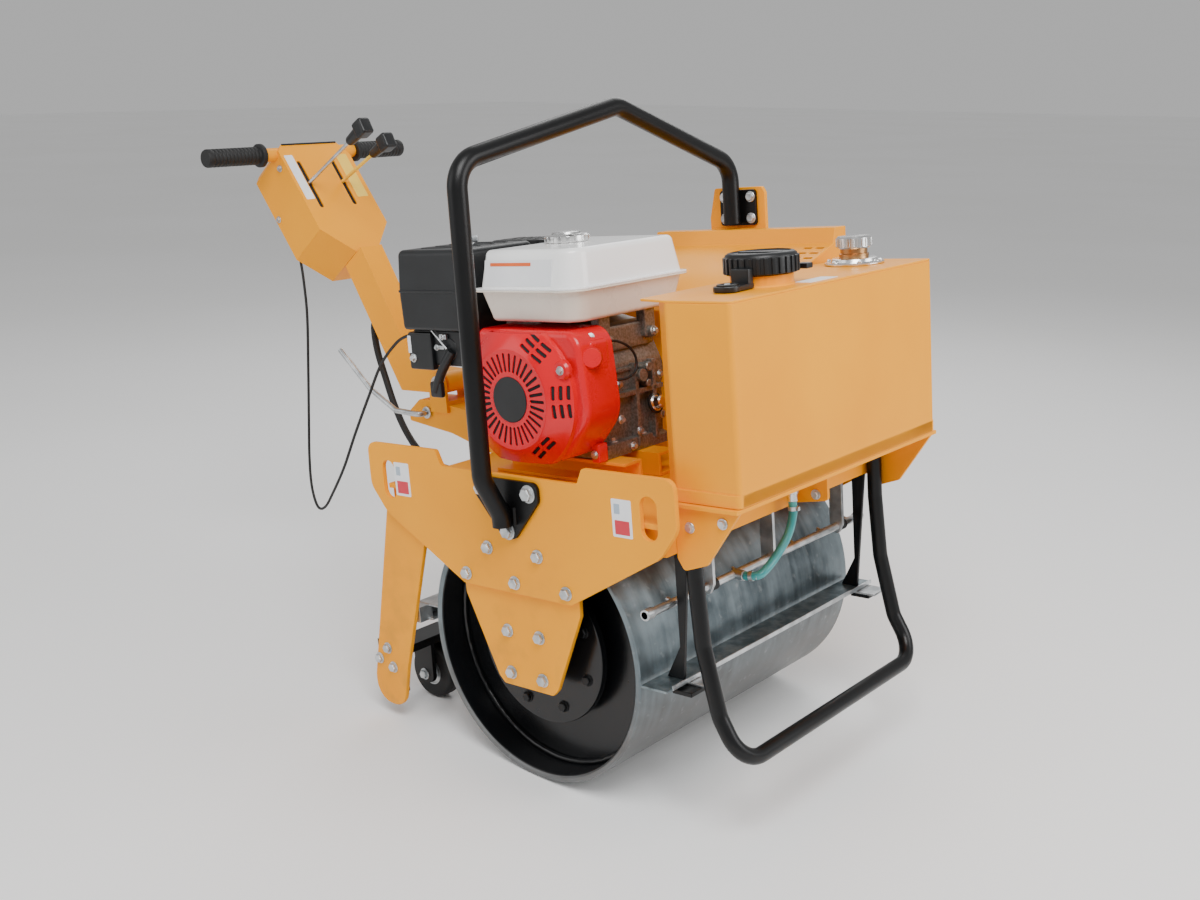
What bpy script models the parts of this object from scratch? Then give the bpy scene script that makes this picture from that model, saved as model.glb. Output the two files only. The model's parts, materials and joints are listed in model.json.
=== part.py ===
"""Single-drum walk-behind vibratory roller.

Every piece is placed in the machine's own frame: +X points forward to the water tank, +Y to the machine's
left, +Z up through the deck, and the origin is the middle of the drum's axis. The whole machine hangs
from one empty, which pitches it back until the drum and the two rear wheels stand on the same floor.
"""
import math

import bmesh
import bpy
from mathutils import Matrix, Vector

# ---------------------------------------------------------------- driving dimensions, in metres
TOUCH = 0.0003             # gap between pieces that bear on each other
RUNNING_GAP = 0.0055       # room beside anything that turns
PLATE = 0.008              # side plates, axle brackets and legs
SHEET = 0.003              # guards, console and water tank

DRUM_RADIUS = 0.2125
DRUM_WIDTH = 0.557
DRUM_WALL = 0.010
DRUM_WEB_INSET = 0.0525    # rim to the face of the web
DRUM_WEB = 0.010
HUB_RADIUS = 0.125
HUB_NECK = 0.088
HUB_FLANGE = 0.014
HUB_DEPTH = 0.034
AXLE_RADIUS = 0.025
AXLE_FIT = 0.0004          # axle in its hub

WHEEL_RADIUS = 0.048
WHEEL_WIDTH = 0.032
WHEEL_X = -0.337
WHEEL_Y = 0.184
WHEEL_Z = -0.132
WHEEL_PIN_RADIUS = 0.008
WHEEL_PIN_FIT = 0.0004

DECK_BOTTOM = 0.226
DECK_LENGTH = 0.560
DECK_PLATE = 0.008
BEAM = 0.040
RAIL_HEIGHT = 0.0367
RAIL_WIDTH = 0.040
RAIL_WALL = 0.005
RAIL_PITCH = 0.0805
RAIL_MIDDLE_Y = -0.094
RAIL_REAR = -0.170
RAIL_FRONT = 0.105

SHAFT_X = -0.029           # crankshaft
SHAFT_RISE = 0.106         # crankshaft above the engine's feet
FUEL_TANK_RISE = 0.2157    # underside of the fuel tank above the engine's feet
FUEL_TANK_HEIGHT = 0.107
FUEL_SEAM_RISE = 0.049     # seam above the fuel tank's underside
CLEANER_RISE = 0.1987      # air cleaner above the engine's feet
CLEANER_HEIGHT = 0.127
CARBURETTOR_HEIGHT = 0.0577
MUFFLER_RISE = 0.1942
MUFFLER_HEIGHT = 0.1305
ENGINE_FRONT = 0.064
ENGINE_NEAR = -0.150
ENGINE_FAR = 0.005

TANK_FRONT = 0.391
TANK_SHOULDER = 0.2855     # where the side starts to taper
TANK_REAR = 0.232
TANK_HALF_WIDTH = 0.2615
TANK_REAR_HALF_WIDTH = 0.235
TANK_BOTTOM = 0.2606
TANK_TOP = 0.530
TANK_LIP = 0.014           # top sheet past the tapered sides
FILLER_X = 0.318
FILLER_Y = -0.085
FILLER_RADIUS = 0.044
CAP_RADIUS = 0.053
CAP_HEIGHT = 0.030
NECK_HEIGHT = 0.016

HOOP_TUBE_RADIUS = 0.0145
HOOP_X = 0.005
HOOP_TOP = 0.793
HOOP_BULGE = 0.041         # near leg, out past the side plate
HOOP_SHOULDER = 0.694

STAND_TUBE_RADIUS = 0.0118
STAND_HALF_WIDTH = 0.241

PIVOT_X = -0.432           # handle's hinge pin
PIVOT_Z = 0.342
PIVOT_PIN_RADIUS = 0.009
PIVOT_FIT = 0.0005
COLUMN_DEPTH = 0.062
COLUMN_WIDTH = 0.050
COLUMN_WALL = 0.004
CONSOLE_HALF_WIDTH = 0.080
PANEL_LENGTH = 0.246       # from the panel's top edge down to the column
BAR_X = -0.778
BAR_Z = 0.768
BAR_RADIUS = 0.0125
GRIP_RADIUS = 0.0165
GRIP_START = 0.106
GRIP_END = 0.228

CABLE_RADIUS = 0.0026
HOSE_RADIUS = 0.0065
WATER_HOSE_RADIUS = 0.0065

# ---------------------------------------------------------------- worked out from those
RIM_Y = DRUM_WIDTH / 2
BRACKET_IN = RIM_Y + RUNNING_GAP - TOUCH
BRACKET_OUT = BRACKET_IN + PLATE
SIDE_IN = BRACKET_OUT + TOUCH
SIDE_OUT = SIDE_IN + PLATE
DECK_TOP = DECK_BOTTOM + DECK_PLATE
RAIL_BOTTOM = DECK_TOP + TOUCH
RAIL_TOP = RAIL_BOTTOM + RAIL_HEIGHT
FEET = RAIL_TOP + TOUCH
SHAFT_Z = FEET + SHAFT_RISE
REACH = math.hypot(WHEEL_X, WHEEL_Z)
PITCH = math.asin((DRUM_RADIUS - WHEEL_RADIUS) / REACH) - math.atan2(-WHEEL_Z, -WHEEL_X)

FINISHES = {
    "yellow_paint": ((0.90, 0.48, 0.010), 0.35, 0.0),
    "black_paint": ((0.012, 0.012, 0.013), 0.35, 0.0),
    "drum_steel": ((0.42, 0.43, 0.43), 0.42, 1.0),
    "zinc_plate": ((0.62, 0.64, 0.65), 0.35, 1.0),
    "engine_alloy": ((0.40, 0.38, 0.34), 0.50, 1.0),
    "red_enamel": ((0.75, 0.010, 0.012), 0.30, 0.0),
    "white_enamel": ((0.86, 0.83, 0.76), 0.25, 0.0),
    "black_plastic": ((0.015, 0.015, 0.016), 0.50, 0.0),
    "black_rubber": ((0.014, 0.014, 0.014), 0.70, 0.0),
    "teal_hose": ((0.02, 0.38, 0.36), 0.40, 0.0),
    "chrome": ((0.75, 0.75, 0.76), 0.15, 1.0),
}

parts = None
cutters = None


# ---------------------------------------------------------------- helpers
def clear_scene():
    for thing in list(bpy.data.objects):
        bpy.data.objects.remove(thing, do_unlink=True)


def new_collection(name):
    group = bpy.data.collections.new(name)
    bpy.context.scene.collection.children.link(group)
    return group


def paint(thing, finish):
    colour, roughness, metallic = FINISHES[finish]
    material = bpy.data.materials.new(thing.name + "_" + finish)
    material.use_nodes = True
    shader = material.node_tree.nodes["Principled BSDF"]
    shader.inputs["Base Color"].default_value = (*colour, 1.0)
    shader.inputs["Roughness"].default_value = roughness
    shader.inputs["Metallic"].default_value = metallic
    thing.data.materials.clear()
    thing.data.materials.append(material)
    return thing


def add(name, data, finish):
    """A new object in the parts' collection, or among the cutters when it has no finish."""
    thing = bpy.data.objects.new(name, data)
    if finish:
        parts.objects.link(thing)
        return paint(thing, finish)
    cutters.objects.link(thing)
    thing.hide_render = True
    thing.display_type = "WIRE"
    return thing


def mesh_from(work, name):
    mesh = bpy.data.meshes.new(name)
    work.to_mesh(mesh)
    work.free()
    return mesh


def box(name, low, high, finish=None, bevel=0.0):
    low, high = Vector(low), Vector(high)
    work = bmesh.new()
    bmesh.ops.create_cube(work, size=1.0)
    bmesh.ops.scale(work, vec=high - low, verts=work.verts)
    thing = add(name, mesh_from(work, name), finish)
    thing.location = (low + high) / 2
    if bevel:
        edge = thing.modifiers.new("edges", "BEVEL")
        edge.width = bevel
        edge.segments = 2
    return thing


def cylinder(name, start, end, radius, finish=None, sides=32, tip=None):
    """A round bar, or a cone when the tip's radius differs."""
    start, end = Vector(start), Vector(end)
    work = bmesh.new()
    bmesh.ops.create_cone(work, cap_ends=True, segments=sides, radius1=radius,
                          radius2=radius if tip is None else tip, depth=(end - start).length)
    mesh = mesh_from(work, name)
    mesh.shade_smooth()
    mesh.set_sharp_from_angle(angle=math.radians(40))
    thing = add(name, mesh, finish)
    thing.location = (start + end) / 2
    thing.rotation_mode = "QUATERNION"
    thing.rotation_quaternion = (end - start).to_track_quat("Z", "Y")
    return thing


def turned(name, profile, centre, side, finish=None, steps=48):
    """A profile of (radius, distance) turned about the machine's Y axis; distance grows away from side."""
    work = bmesh.new()
    rim = [work.verts.new((radius, 0.0, distance)) for radius, distance in profile]
    closed = profile[0][0] > 0.0
    for first, second in zip(rim, rim[1:] + rim[:1] if closed else rim[1:]):
        work.edges.new((first, second))
    thing = add(name, mesh_from(work, name), finish)
    screw = thing.modifiers.new("turn", "SCREW")
    screw.axis = "Z"
    screw.steps = steps
    screw.render_steps = steps
    screw.use_merge_vertices = True
    screw.merge_threshold = 0.00001
    thing.location = centre
    thing.rotation_euler = (math.radians(-90 * side), 0.0, 0.0)
    return thing


def arc_corner(before, corner, after, radius, steps):
    """Points of the arc that rounds a corner, in two or three dimensions."""
    before, corner, after = Vector(before), Vector(corner), Vector(after)
    back = (before - corner).normalized()
    ahead = (after - corner).normalized()
    half = back.angle(ahead) / 2
    if radius <= 0.0 or half > math.pi / 2 - 0.01:
        return [corner]
    middle = corner + (back + ahead).normalized() * radius / math.sin(half)
    start = corner + back * radius / math.tan(half) - middle
    end = corner + ahead * radius / math.tan(half) - middle
    sweep = start.angle(end)
    return [middle + (start * math.sin(sweep * (1 - k / steps)) + end * math.sin(sweep * k / steps))
            / math.sin(sweep) for k in range(steps + 1)]


def rounded(points, steps=5):
    """A closed outline from (x, y, radius) corners."""
    flat = [Vector(point[:2]).to_3d() for point in points]
    outline = []
    for k, point in enumerate(points):
        outline += arc_corner(flat[k - 1], flat[k], flat[(k + 1) % len(flat)], point[2], steps)
    return outline


def rounded_path(points, radius, steps=7):
    """An open path in space whose inner corners are arcs."""
    path = [Vector(points[0])]
    for before, corner, after in zip(points, points[1:], points[2:]):
        path += arc_corner(before, corner, after, radius, steps)
    return path + [Vector(points[-1])]


def smooth_route(points, count):
    """Evenly spaced points on a smooth curve through the route's own points."""
    knots = [Vector(p) for p in points]
    knots = [knots[0] * 2 - knots[1]] + knots + [knots[-1] * 2 - knots[-2]]
    fine = []
    for a, b, c, d in zip(knots, knots[1:], knots[2:], knots[3:]):
        for k in range(24):
            t = k / 24
            fine.append(0.5 * (2 * b + (c - a) * t + (2 * a - 5 * b + 4 * c - d) * t * t
                               + (3 * b - a - 3 * c + d) * t ** 3))
    fine.append(knots[-2])
    walked = [0.0]
    for first, second in zip(fine, fine[1:]):
        walked.append(walked[-1] + (second - first).length)
    route, k = [], 0
    for step in range(count):
        wanted = walked[-1] * step / (count - 1)
        while k < len(fine) - 2 and walked[k + 1] < wanted:
            k += 1
        share = (wanted - walked[k]) / (walked[k + 1] - walked[k])
        route.append(fine[k].lerp(fine[k + 1], share))
    return route


def mirrored(half):
    """A closed outline from its right-hand half, listed from the top middle to the bottom middle."""
    return half + [(-x, y, r) for x, y, r in reversed(half)]


def prism(name, outline, low, high, finish=None, plane="XZ", holes=()):
    """A flat outline with thickness from low to high along the axis that its plane leaves out."""
    curve = bpy.data.curves.new(name, "CURVE")
    curve.dimensions = "2D"
    curve.fill_mode = "BOTH"
    curve.extrude = (high - low) / 2
    for loop in (outline, *holes):
        spline = curve.splines.new("POLY")
        spline.points.add(len(loop) - 1)
        spline.use_cyclic_u = True
        for point, corner in zip(spline.points, loop):
            point.co = (corner[0], corner[1], 0.0, 1.0)
    thing = add(name, curve, finish)
    middle = (low + high) / 2
    thing.location = {"XZ": (0, middle, 0), "YZ": (middle, 0, 0), "XY": (0, 0, middle)}[plane]
    quarter = math.pi / 2
    thing.rotation_euler = {"XZ": (quarter, 0, 0), "YZ": (quarter, 0, quarter), "XY": (0, 0, 0)}[plane]
    return thing


def tube(name, points, radius, finish=None, resolution=3):
    curve = bpy.data.curves.new(name, "CURVE")
    curve.dimensions = "3D"
    curve.bevel_depth = radius
    curve.bevel_resolution = resolution
    curve.use_fill_caps = True
    spline = curve.splines.new("POLY")
    spline.points.add(len(points) - 1)
    for point, place in zip(spline.points, points):
        point.co = (*place, 1.0)
    return add(name, curve, finish)


def as_mesh(thing):
    """The same piece as a mesh with its caps welded, so that Booleans can use it."""
    bpy.context.view_layer.update()
    solid = thing.evaluated_get(bpy.context.evaluated_depsgraph_get())
    mesh = bpy.data.meshes.new_from_object(solid)
    work = bmesh.new()
    work.from_mesh(mesh)
    bmesh.ops.remove_doubles(work, verts=work.verts, dist=0.00001)
    work.to_mesh(mesh)
    work.free()
    name, group, place = thing.name, thing.users_collection[0], thing.matrix_world.copy()
    hidden = thing.hide_render
    bpy.data.objects.remove(thing, do_unlink=True)
    solid = bpy.data.objects.new(name, mesh)
    group.objects.link(solid)
    solid.matrix_world = place
    solid.hide_render = hidden
    solid.display_type = "WIRE" if hidden else "TEXTURED"
    return solid


def boolean(thing, tool, operation):
    step = thing.modifiers.new(operation.lower() + "_" + tool.name, "BOOLEAN")
    step.operation = operation
    step.object = tool
    step.solver = "EXACT"
    return thing


def cut(thing, *tools):
    for tool in tools:
        boolean(thing, tool, "DIFFERENCE")
    return thing


def join(thing, *tools):
    for tool in tools:
        boolean(thing, tool, "UNION")
    return thing


def both_sides():
    return (("right", -1), ("left", 1))


def span(side, near, far):
    """Low and high Y of a piece that reaches from near to far on one side of the machine."""
    return tuple(sorted((side * near, side * far)))


# ---------------------------------------------------------------- drum
def make_drum():
    inner = DRUM_RADIUS - DRUM_WALL
    profile = [(DRUM_RADIUS, RIM_Y), (DRUM_RADIUS, -RIM_Y), (inner, -RIM_Y), (inner, RIM_Y)]
    made = [turned("drum_shell", profile, (0, 0, 0), -1, "drum_steel", steps=96)]
    web_out = RIM_Y - DRUM_WEB_INSET
    hub_end = web_out + HUB_DEPTH
    for word, side in both_sides():
        bore = AXLE_RADIUS + AXLE_FIT
        profile = [(0.0, web_out), (bore, web_out), (bore, hub_end), (HUB_RADIUS, hub_end),
                   (HUB_RADIUS, hub_end - HUB_FLANGE), (HUB_NECK, hub_end - HUB_FLANGE), (HUB_NECK + 0.008, web_out),
                   (inner - TOUCH, web_out), (inner - TOUCH, web_out - DRUM_WEB), (0.0, web_out - DRUM_WEB)]
        made.append(turned("drum_end_" + word, profile, (0, 0, 0), side, "black_paint", steps=80))
    return made


def make_axles():
    """A flanged axle on each bracket, reaching into the hub."""
    hub_face = RIM_Y - DRUM_WEB_INSET + HUB_DEPTH
    start = BRACKET_IN - TOUCH
    profile = [(0.0, start), (0.048, start), (0.048, hub_face + RUNNING_GAP),
               (AXLE_RADIUS, hub_face + RUNNING_GAP), (AXLE_RADIUS, hub_face - HUB_DEPTH + 0.004),
               (0.0, hub_face - HUB_DEPTH + 0.004)]
    return [turned("axle_" + word, profile, (0, 0, 0), side, "zinc_plate", steps=40)
            for word, side in both_sides()]


# ---------------------------------------------------------------- frame
def side_plate_outline():
    half = [(0.140, 0.277, 0.008), (0.151, 0.301, 0.006), (0.313, 0.301, 0.016), (0.314, 0.230, 0.030),
            (0.281, 0.188, 0.050), (0.112, 0.095, 0.010)]
    return rounded(mirrored(half))


def hand_hole(x):
    z, half_width, half_height = 0.243, 0.0145, 0.031
    corners = [(x + half_width, z + half_height), (x + half_width, z - half_height),
               (x - half_width, z - half_height), (x - half_width, z + half_height)]
    return rounded([(cx, cz, half_width * 0.97) for cx, cz in corners])


def make_side_plates():
    return [prism("side_plate_" + word, side_plate_outline(), *span(side, SIDE_IN, SIDE_OUT), "yellow_paint",
                  holes=(hand_hole(-0.267), hand_hole(0.267))) for word, side in both_sides()]


def make_axle_brackets():
    half = [(0.100, 0.190, 0.0), (0.120, 0.104, 0.006), (0.119, 0.076, 0.010), (0.062, -0.049, 0.010),
            (0.051, -0.060, 0.006)]
    return [prism("axle_bracket_" + word, rounded(mirrored(half), 3), *span(side, BRACKET_IN, BRACKET_OUT),
                  "yellow_paint") for word, side in both_sides()]


def make_deck():
    """Deck plate with a beam under its front and rear edges, between the two side plates."""
    end = DECK_LENGTH / 2
    wide = SIDE_IN - TOUCH
    deck = box("deck", (-end, -wide, DECK_BOTTOM), (end, wide, DECK_TOP), "yellow_paint")
    inside = BRACKET_IN - TOUCH
    for word, low in (("rear", -end), ("front", end - BEAM)):
        join(deck, box("deck_beam_" + word, (low, -inside, DECK_BOTTOM - BEAM), (low + BEAM, inside, DECK_TOP - 0.001)))
    return [deck]


def make_engine_rails():
    """Two channels back to back under the engine's feet."""
    made = []
    for word, side in both_sides():
        middle = RAIL_MIDDLE_Y + side * RAIL_PITCH / 2
        web = middle - side * RAIL_WIDTH / 2
        inner = web + side * RAIL_WALL
        lip = web + side * RAIL_WIDTH
        outline = [(web, RAIL_BOTTOM), (lip, RAIL_BOTTOM), (lip, RAIL_BOTTOM + RAIL_WALL),
                   (inner, RAIL_BOTTOM + RAIL_WALL), (inner, RAIL_TOP - RAIL_WALL), (lip, RAIL_TOP - RAIL_WALL),
                   (lip, RAIL_TOP), (web, RAIL_TOP)]
        made.append(prism("engine_rail_" + word, outline, RAIL_REAR, RAIL_FRONT, "yellow_paint", "YZ"))
    return made


def make_rear_legs():
    outline = rounded([(-0.188, 0.200, 0.0), (-0.285, -0.086, 0.200), (-0.303, -0.158, 0.030),
                       (-0.373, -0.158, 0.036), (-0.370, -0.110, 0.0), (-0.290, 0.200, 0.0)])
    return [prism("rear_leg_" + word, outline, *span(side, BRACKET_IN, BRACKET_OUT), "yellow_paint")
            for word, side in both_sides()]


def make_wheels():
    """A roller wheel on a pin between two cheeks, carried inward from each leg by an arm."""
    wheels, brackets = [], []
    for word, side in both_sides():
        centre = Vector((WHEEL_X, side * WHEEL_Y, WHEEL_Z))
        half = WHEEL_WIDTH / 2
        bore = WHEEL_PIN_RADIUS + WHEEL_PIN_FIT
        profile = [(bore, half), (WHEEL_RADIUS - 0.004, half), (WHEEL_RADIUS, half - 0.005),
                   (WHEEL_RADIUS, 0.005 - half), (WHEEL_RADIUS - 0.004, -half), (bore, -half)]
        wheel = turned("rear_wheel_" + word, profile, centre, side, "black_rubber", steps=40)
        wheels.append(wheel)
        cheek = half + RUNNING_GAP
        outline = rounded([(WHEEL_X - 0.021, WHEEL_Z - 0.014, 0.012), (WHEEL_X + 0.021, WHEEL_Z - 0.014, 0.012),
                           (WHEEL_X + 0.024, -0.064, 0.0), (WHEEL_X - 0.024, -0.064, 0.0)])
        reach = as_mesh(prism("wheel_bracket_" + word, outline, *span(side, WHEEL_Y + cheek, WHEEL_Y + cheek + 0.008),
                              "black_paint"))
        paint(reach, "black_paint")
        inner = as_mesh(prism("inner_cheek_" + word, outline, *span(side, WHEEL_Y - cheek - 0.008, WHEEL_Y - cheek)))
        low, high = span(side, WHEEL_Y - cheek - 0.010, BRACKET_IN - TOUCH - 0.004)
        arm = box("wheel_arm_" + word, (WHEEL_X - 0.026, low, -0.074), (WHEEL_X + 0.026, high, -0.060))
        low, high = span(side, BRACKET_IN - TOUCH - 0.010, BRACKET_IN - TOUCH)
        foot = box("wheel_foot_" + word, (WHEEL_X - 0.030, low, -0.135), (WHEEL_X + 0.030, high, -0.050))
        pin = cylinder("wheel_pin_" + word, centre - Vector((0, cheek + 0.007, 0)),
                       centre + Vector((0, cheek + 0.007, 0)), WHEEL_PIN_RADIUS, sides=24)
        brackets.append(join(reach, inner, arm, foot, pin))
    return wheels, brackets


# ---------------------------------------------------------------- water tank and what hangs on it
def tank_outline(shrink=0.0, lip=0.0):
    """The tank's plan: shrink draws every wall in, and lip lets the tapered sides stand out."""
    front, shoulder, rear = TANK_FRONT - shrink, TANK_SHOULDER, TANK_REAR + shrink
    wide, narrow = TANK_HALF_WIDTH - shrink, TANK_REAR_HALF_WIDTH - shrink + lip
    corners = [(front, -wide, 0.010), (front, wide, 0.010), (shoulder, wide, 0.012), (rear, narrow, 0.008),
               (rear, -narrow, 0.008), (shoulder, -wide, 0.012)]
    return rounded(corners, 3)


def make_tank():
    tank = as_mesh(prism("water_tank", tank_outline(), TANK_BOTTOM, TANK_TOP, "yellow_paint", "XY"))
    paint(tank, "yellow_paint")
    top = TANK_TOP + NECK_HEIGHT
    neck = cylinder("tank_neck", (FILLER_X, FILLER_Y, TANK_TOP - 0.002), (FILLER_X, FILLER_Y, top), FILLER_RADIUS)
    lid = as_mesh(prism("tank_lip", tank_outline(lip=TANK_LIP), TANK_TOP - SHEET, TANK_TOP, plane="XY"))
    hollow = as_mesh(prism("tank_hollow", tank_outline(SHEET), TANK_BOTTOM + SHEET, TANK_TOP - SHEET, plane="XY"))
    mouth = cylinder("tank_mouth", (FILLER_X, FILLER_Y, TANK_TOP - 0.020), (FILLER_X, FILLER_Y, top + 0.01),
                     FILLER_RADIUS - SHEET)
    cut(join(tank, neck, lid), hollow, mouth)

    cap = cylinder("tank_cap", (FILLER_X, FILLER_Y, top + TOUCH), (FILLER_X, FILLER_Y, top + CAP_HEIGHT),
                   CAP_RADIUS, "black_plastic", sides=40)
    strap = box("tank_cap_strap", (FILLER_X - 0.012, FILLER_Y - 0.105, TANK_TOP + TOUCH),
                (FILLER_X + 0.022, FILLER_Y - 0.046, TANK_TOP + 0.010))
    riser = box("tank_cap_riser", (FILLER_X - 0.012, FILLER_Y - 0.060, TANK_TOP + 0.004),
                (FILLER_X + 0.022, FILLER_Y - 0.046, top + 0.012))
    join(cap, strap, riser)
    flange_z = TANK_TOP + TOUCH
    vent = cylinder("tank_vent", (0.303, 0.184, flange_z), (0.303, 0.184, flange_z + 0.006), 0.046,
                    "chrome", sides=36)
    neck = cylinder("vent_neck", (0.303, 0.184, flange_z + 0.004), (0.303, 0.184, flange_z + 0.024), 0.022)
    knob = cylinder("vent_knob", (0.303, 0.184, flange_z + 0.023), (0.303, 0.184, flange_z + 0.044), 0.027)
    join(vent, neck, knob)
    return [tank, cap, vent]


def make_tank_supports():
    """A shelf under the tank, with a gusset at each end and one in the middle."""
    shelf_top = TANK_BOTTOM - TOUCH
    shelf_bottom = shelf_top - 0.006
    rear = DECK_LENGTH / 2 + TOUCH
    shelf = box("tank_shelf", (rear, -0.2695, shelf_bottom), (TANK_FRONT - 0.001, 0.2695, shelf_top),
                "yellow_paint")
    outline = rounded([(rear, shelf_bottom + 0.001, 0.0), (0.3885, shelf_bottom + 0.001, 0.0),
                       (0.330, 0.176, 0.006), (0.291, 0.163, 0.006), (rear, 0.180, 0.0)], 3)
    for word, side in both_sides():
        join(shelf, as_mesh(prism("tank_gusset_" + word, outline, *span(side, 0.2545, 0.2605))))
    outline = rounded([(rear, shelf_bottom + 0.001, 0.0), (0.345, shelf_bottom + 0.001, 0.004),
                       (0.345, 0.200, 0.006), (rear, 0.190, 0.0)], 3)
    join(shelf, as_mesh(prism("tank_bracket", outline, 0.018, 0.024)))
    return [shelf]


def make_sprinkler():
    pipe = tube("sprinkler_pipe", [(0.248, -0.300, 0.104), (0.248, 0.268, 0.104)], 0.0062, "zinc_plate", 2)
    stay_top = DECK_BOTTOM - TOUCH - BEAM
    hangers = []
    for k, y in enumerate((-0.155, -0.001, 0.196)):
        outline = rounded([(0.236, stay_top, 0.0), (0.260, stay_top, 0.0), (0.260, 0.108, 0.008),
                           (0.252, 0.092, 0.006), (0.244, 0.092, 0.006), (0.236, 0.108, 0.008)], 3)
        hangers.append(as_mesh(prism("hanger_%d" % k, outline, y - 0.003, y + 0.003)))
    pipe = as_mesh(pipe)
    paint(pipe, "zinc_plate")
    tee = cylinder("pipe_tee", (0.246, -0.090, 0.104), (0.2665, -0.090, 0.104), 0.0078, sides=20)
    join(pipe, *hangers, tee)
    valve = cylinder("outlet_valve", (0.302, -0.010, TANK_BOTTOM - 0.006 - 2 * TOUCH),
                     (0.302, -0.010, 0.222), 0.011, "chrome", sides=20)
    handle = box("valve_handle", (0.296, -0.034, 0.232), (0.308, -0.006, 0.240))
    spout = cylinder("valve_spout", (0.302, -0.010, 0.226), (0.302, -0.010, 0.202), 0.008, sides=20)
    join(valve, handle, spout)
    route = [(0.302, -0.010, 0.2015), (0.302, -0.011, 0.180), (0.300, -0.024, 0.152), (0.296, -0.052, 0.126),
             (0.291, -0.080, 0.109), (0.280, -0.0885, 0.105), (0.2672, -0.090, 0.104)]
    hose = tube("water_hose", smooth_route(route, 18), WATER_HOSE_RADIUS, "teal_hose", 3)
    return [pipe, valve, hose]


def make_scrapers():
    """Flat blades that stand just clear of the drum, front and rear."""
    reach = DRUM_RADIUS + RUNNING_GAP
    blade = box("front_scraper", (reach + 0.0005, -0.262, -0.013), (reach + 0.047, 0.272, -0.009), "zinc_plate")
    made = [blade]
    for word, side in both_sides():
        low, high = span(side, 0.232, 0.238)
        outline = rounded([(0.279, 0.1855, 0.0), (0.256, 0.1855, 0.0), (0.256, 0.040, 0.0),
                           (0.230, -0.0087, 0.0), (0.2595, -0.0087, 0.0)], 2)
        made.append(prism("front_scraper_arm_" + word, outline, low, high, "black_paint"))
    bar_x = -reach - 0.020
    blade = box("rear_scraper", (bar_x - 0.038, -0.262, 0.022), (-reach - 0.0025, 0.262, 0.026), "zinc_plate")
    lower = box("rear_scraper_strip", (bar_x - 0.048, -0.262, -0.002), (bar_x - 0.004, 0.262, 0.002))
    made.append(blade)
    spine = box("scraper_spine", (bar_x - 0.034, -0.262, -0.004), (bar_x - 0.028, 0.262, 0.024))
    join(blade, lower, spine)
    for word, side in both_sides():
        low, high = span(side, 0.256, BRACKET_IN - TOUCH)
        join(blade, box("rear_scraper_lug_" + word, (bar_x - 0.047, low, -0.001), (bar_x - 0.010, high, 0.025)))
    return made


def make_front_stand():
    wide = STAND_HALF_WIDTH
    leg = [(0.2935, 0.2475), (0.2935, 0.150), (0.300, 0.050), (0.322, -0.050), (0.357, -0.114)]
    points = [(x, -wide, z) for x, z in leg] + [(x, wide, z) for x, z in reversed(leg)]
    return [tube("front_stand", rounded_path(points, 0.045), STAND_TUBE_RADIUS, "black_paint", 3)]


# ---------------------------------------------------------------- lifting hoop
def make_hoop():
    foot_y = -SIDE_OUT - TOUCH
    out = -SIDE_OUT - HOOP_BULGE
    far = SIDE_OUT - 0.005 - HOOP_TUBE_RADIUS
    tube_y = foot_y - 0.005 - HOOP_TUBE_RADIUS
    route = [(HOOP_X, tube_y, 0.205), (HOOP_X, tube_y, 0.222), (HOOP_X, out, 0.278),
             (HOOP_X, out, HOOP_SHOULDER + 0.030), (HOOP_X, 0.0, HOOP_TOP), (HOOP_X + 0.004, far, 0.690),
             (HOOP_X + 0.004, far, 0.590)]
    hoop = as_mesh(tube("lifting_hoop", rounded_path(route, 0.045), HOOP_TUBE_RADIUS, "black_paint", 3))
    paint(hoop, "black_paint")
    outline = rounded([(-0.062, 0.272, 0.012), (0.068, 0.272, 0.012), (0.068, 0.244, 0.010), (0.014, 0.182, 0.012),
                       (-0.010, 0.182, 0.012), (-0.062, 0.244, 0.010)], 3)
    foot = as_mesh(prism("hoop_foot_right", outline, foot_y - 0.006, foot_y))
    plate_y = SIDE_OUT - 0.006
    outline = rounded([(-0.025, 0.586, 0.006), (0.049, 0.586, 0.006), (0.049, 0.646, 0.006), (-0.025, 0.646, 0.006)], 3)
    plate = as_mesh(prism("hoop_foot_left", outline, plate_y, plate_y + 0.006))
    upright_y = plate_y + 0.006 + TOUCH
    outline = rounded([(-0.052, 0.240, 0.0), (0.064, 0.240, 0.0), (0.064, 0.640, 0.004),
                       (0.058, 0.650, 0.004), (-0.040, 0.650, 0.004), (-0.052, 0.600, 0.004)], 2)
    upright = prism("hoop_upright", outline, upright_y, upright_y + PLATE, "yellow_paint")
    return [join(hoop, foot, plate), upright]


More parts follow.
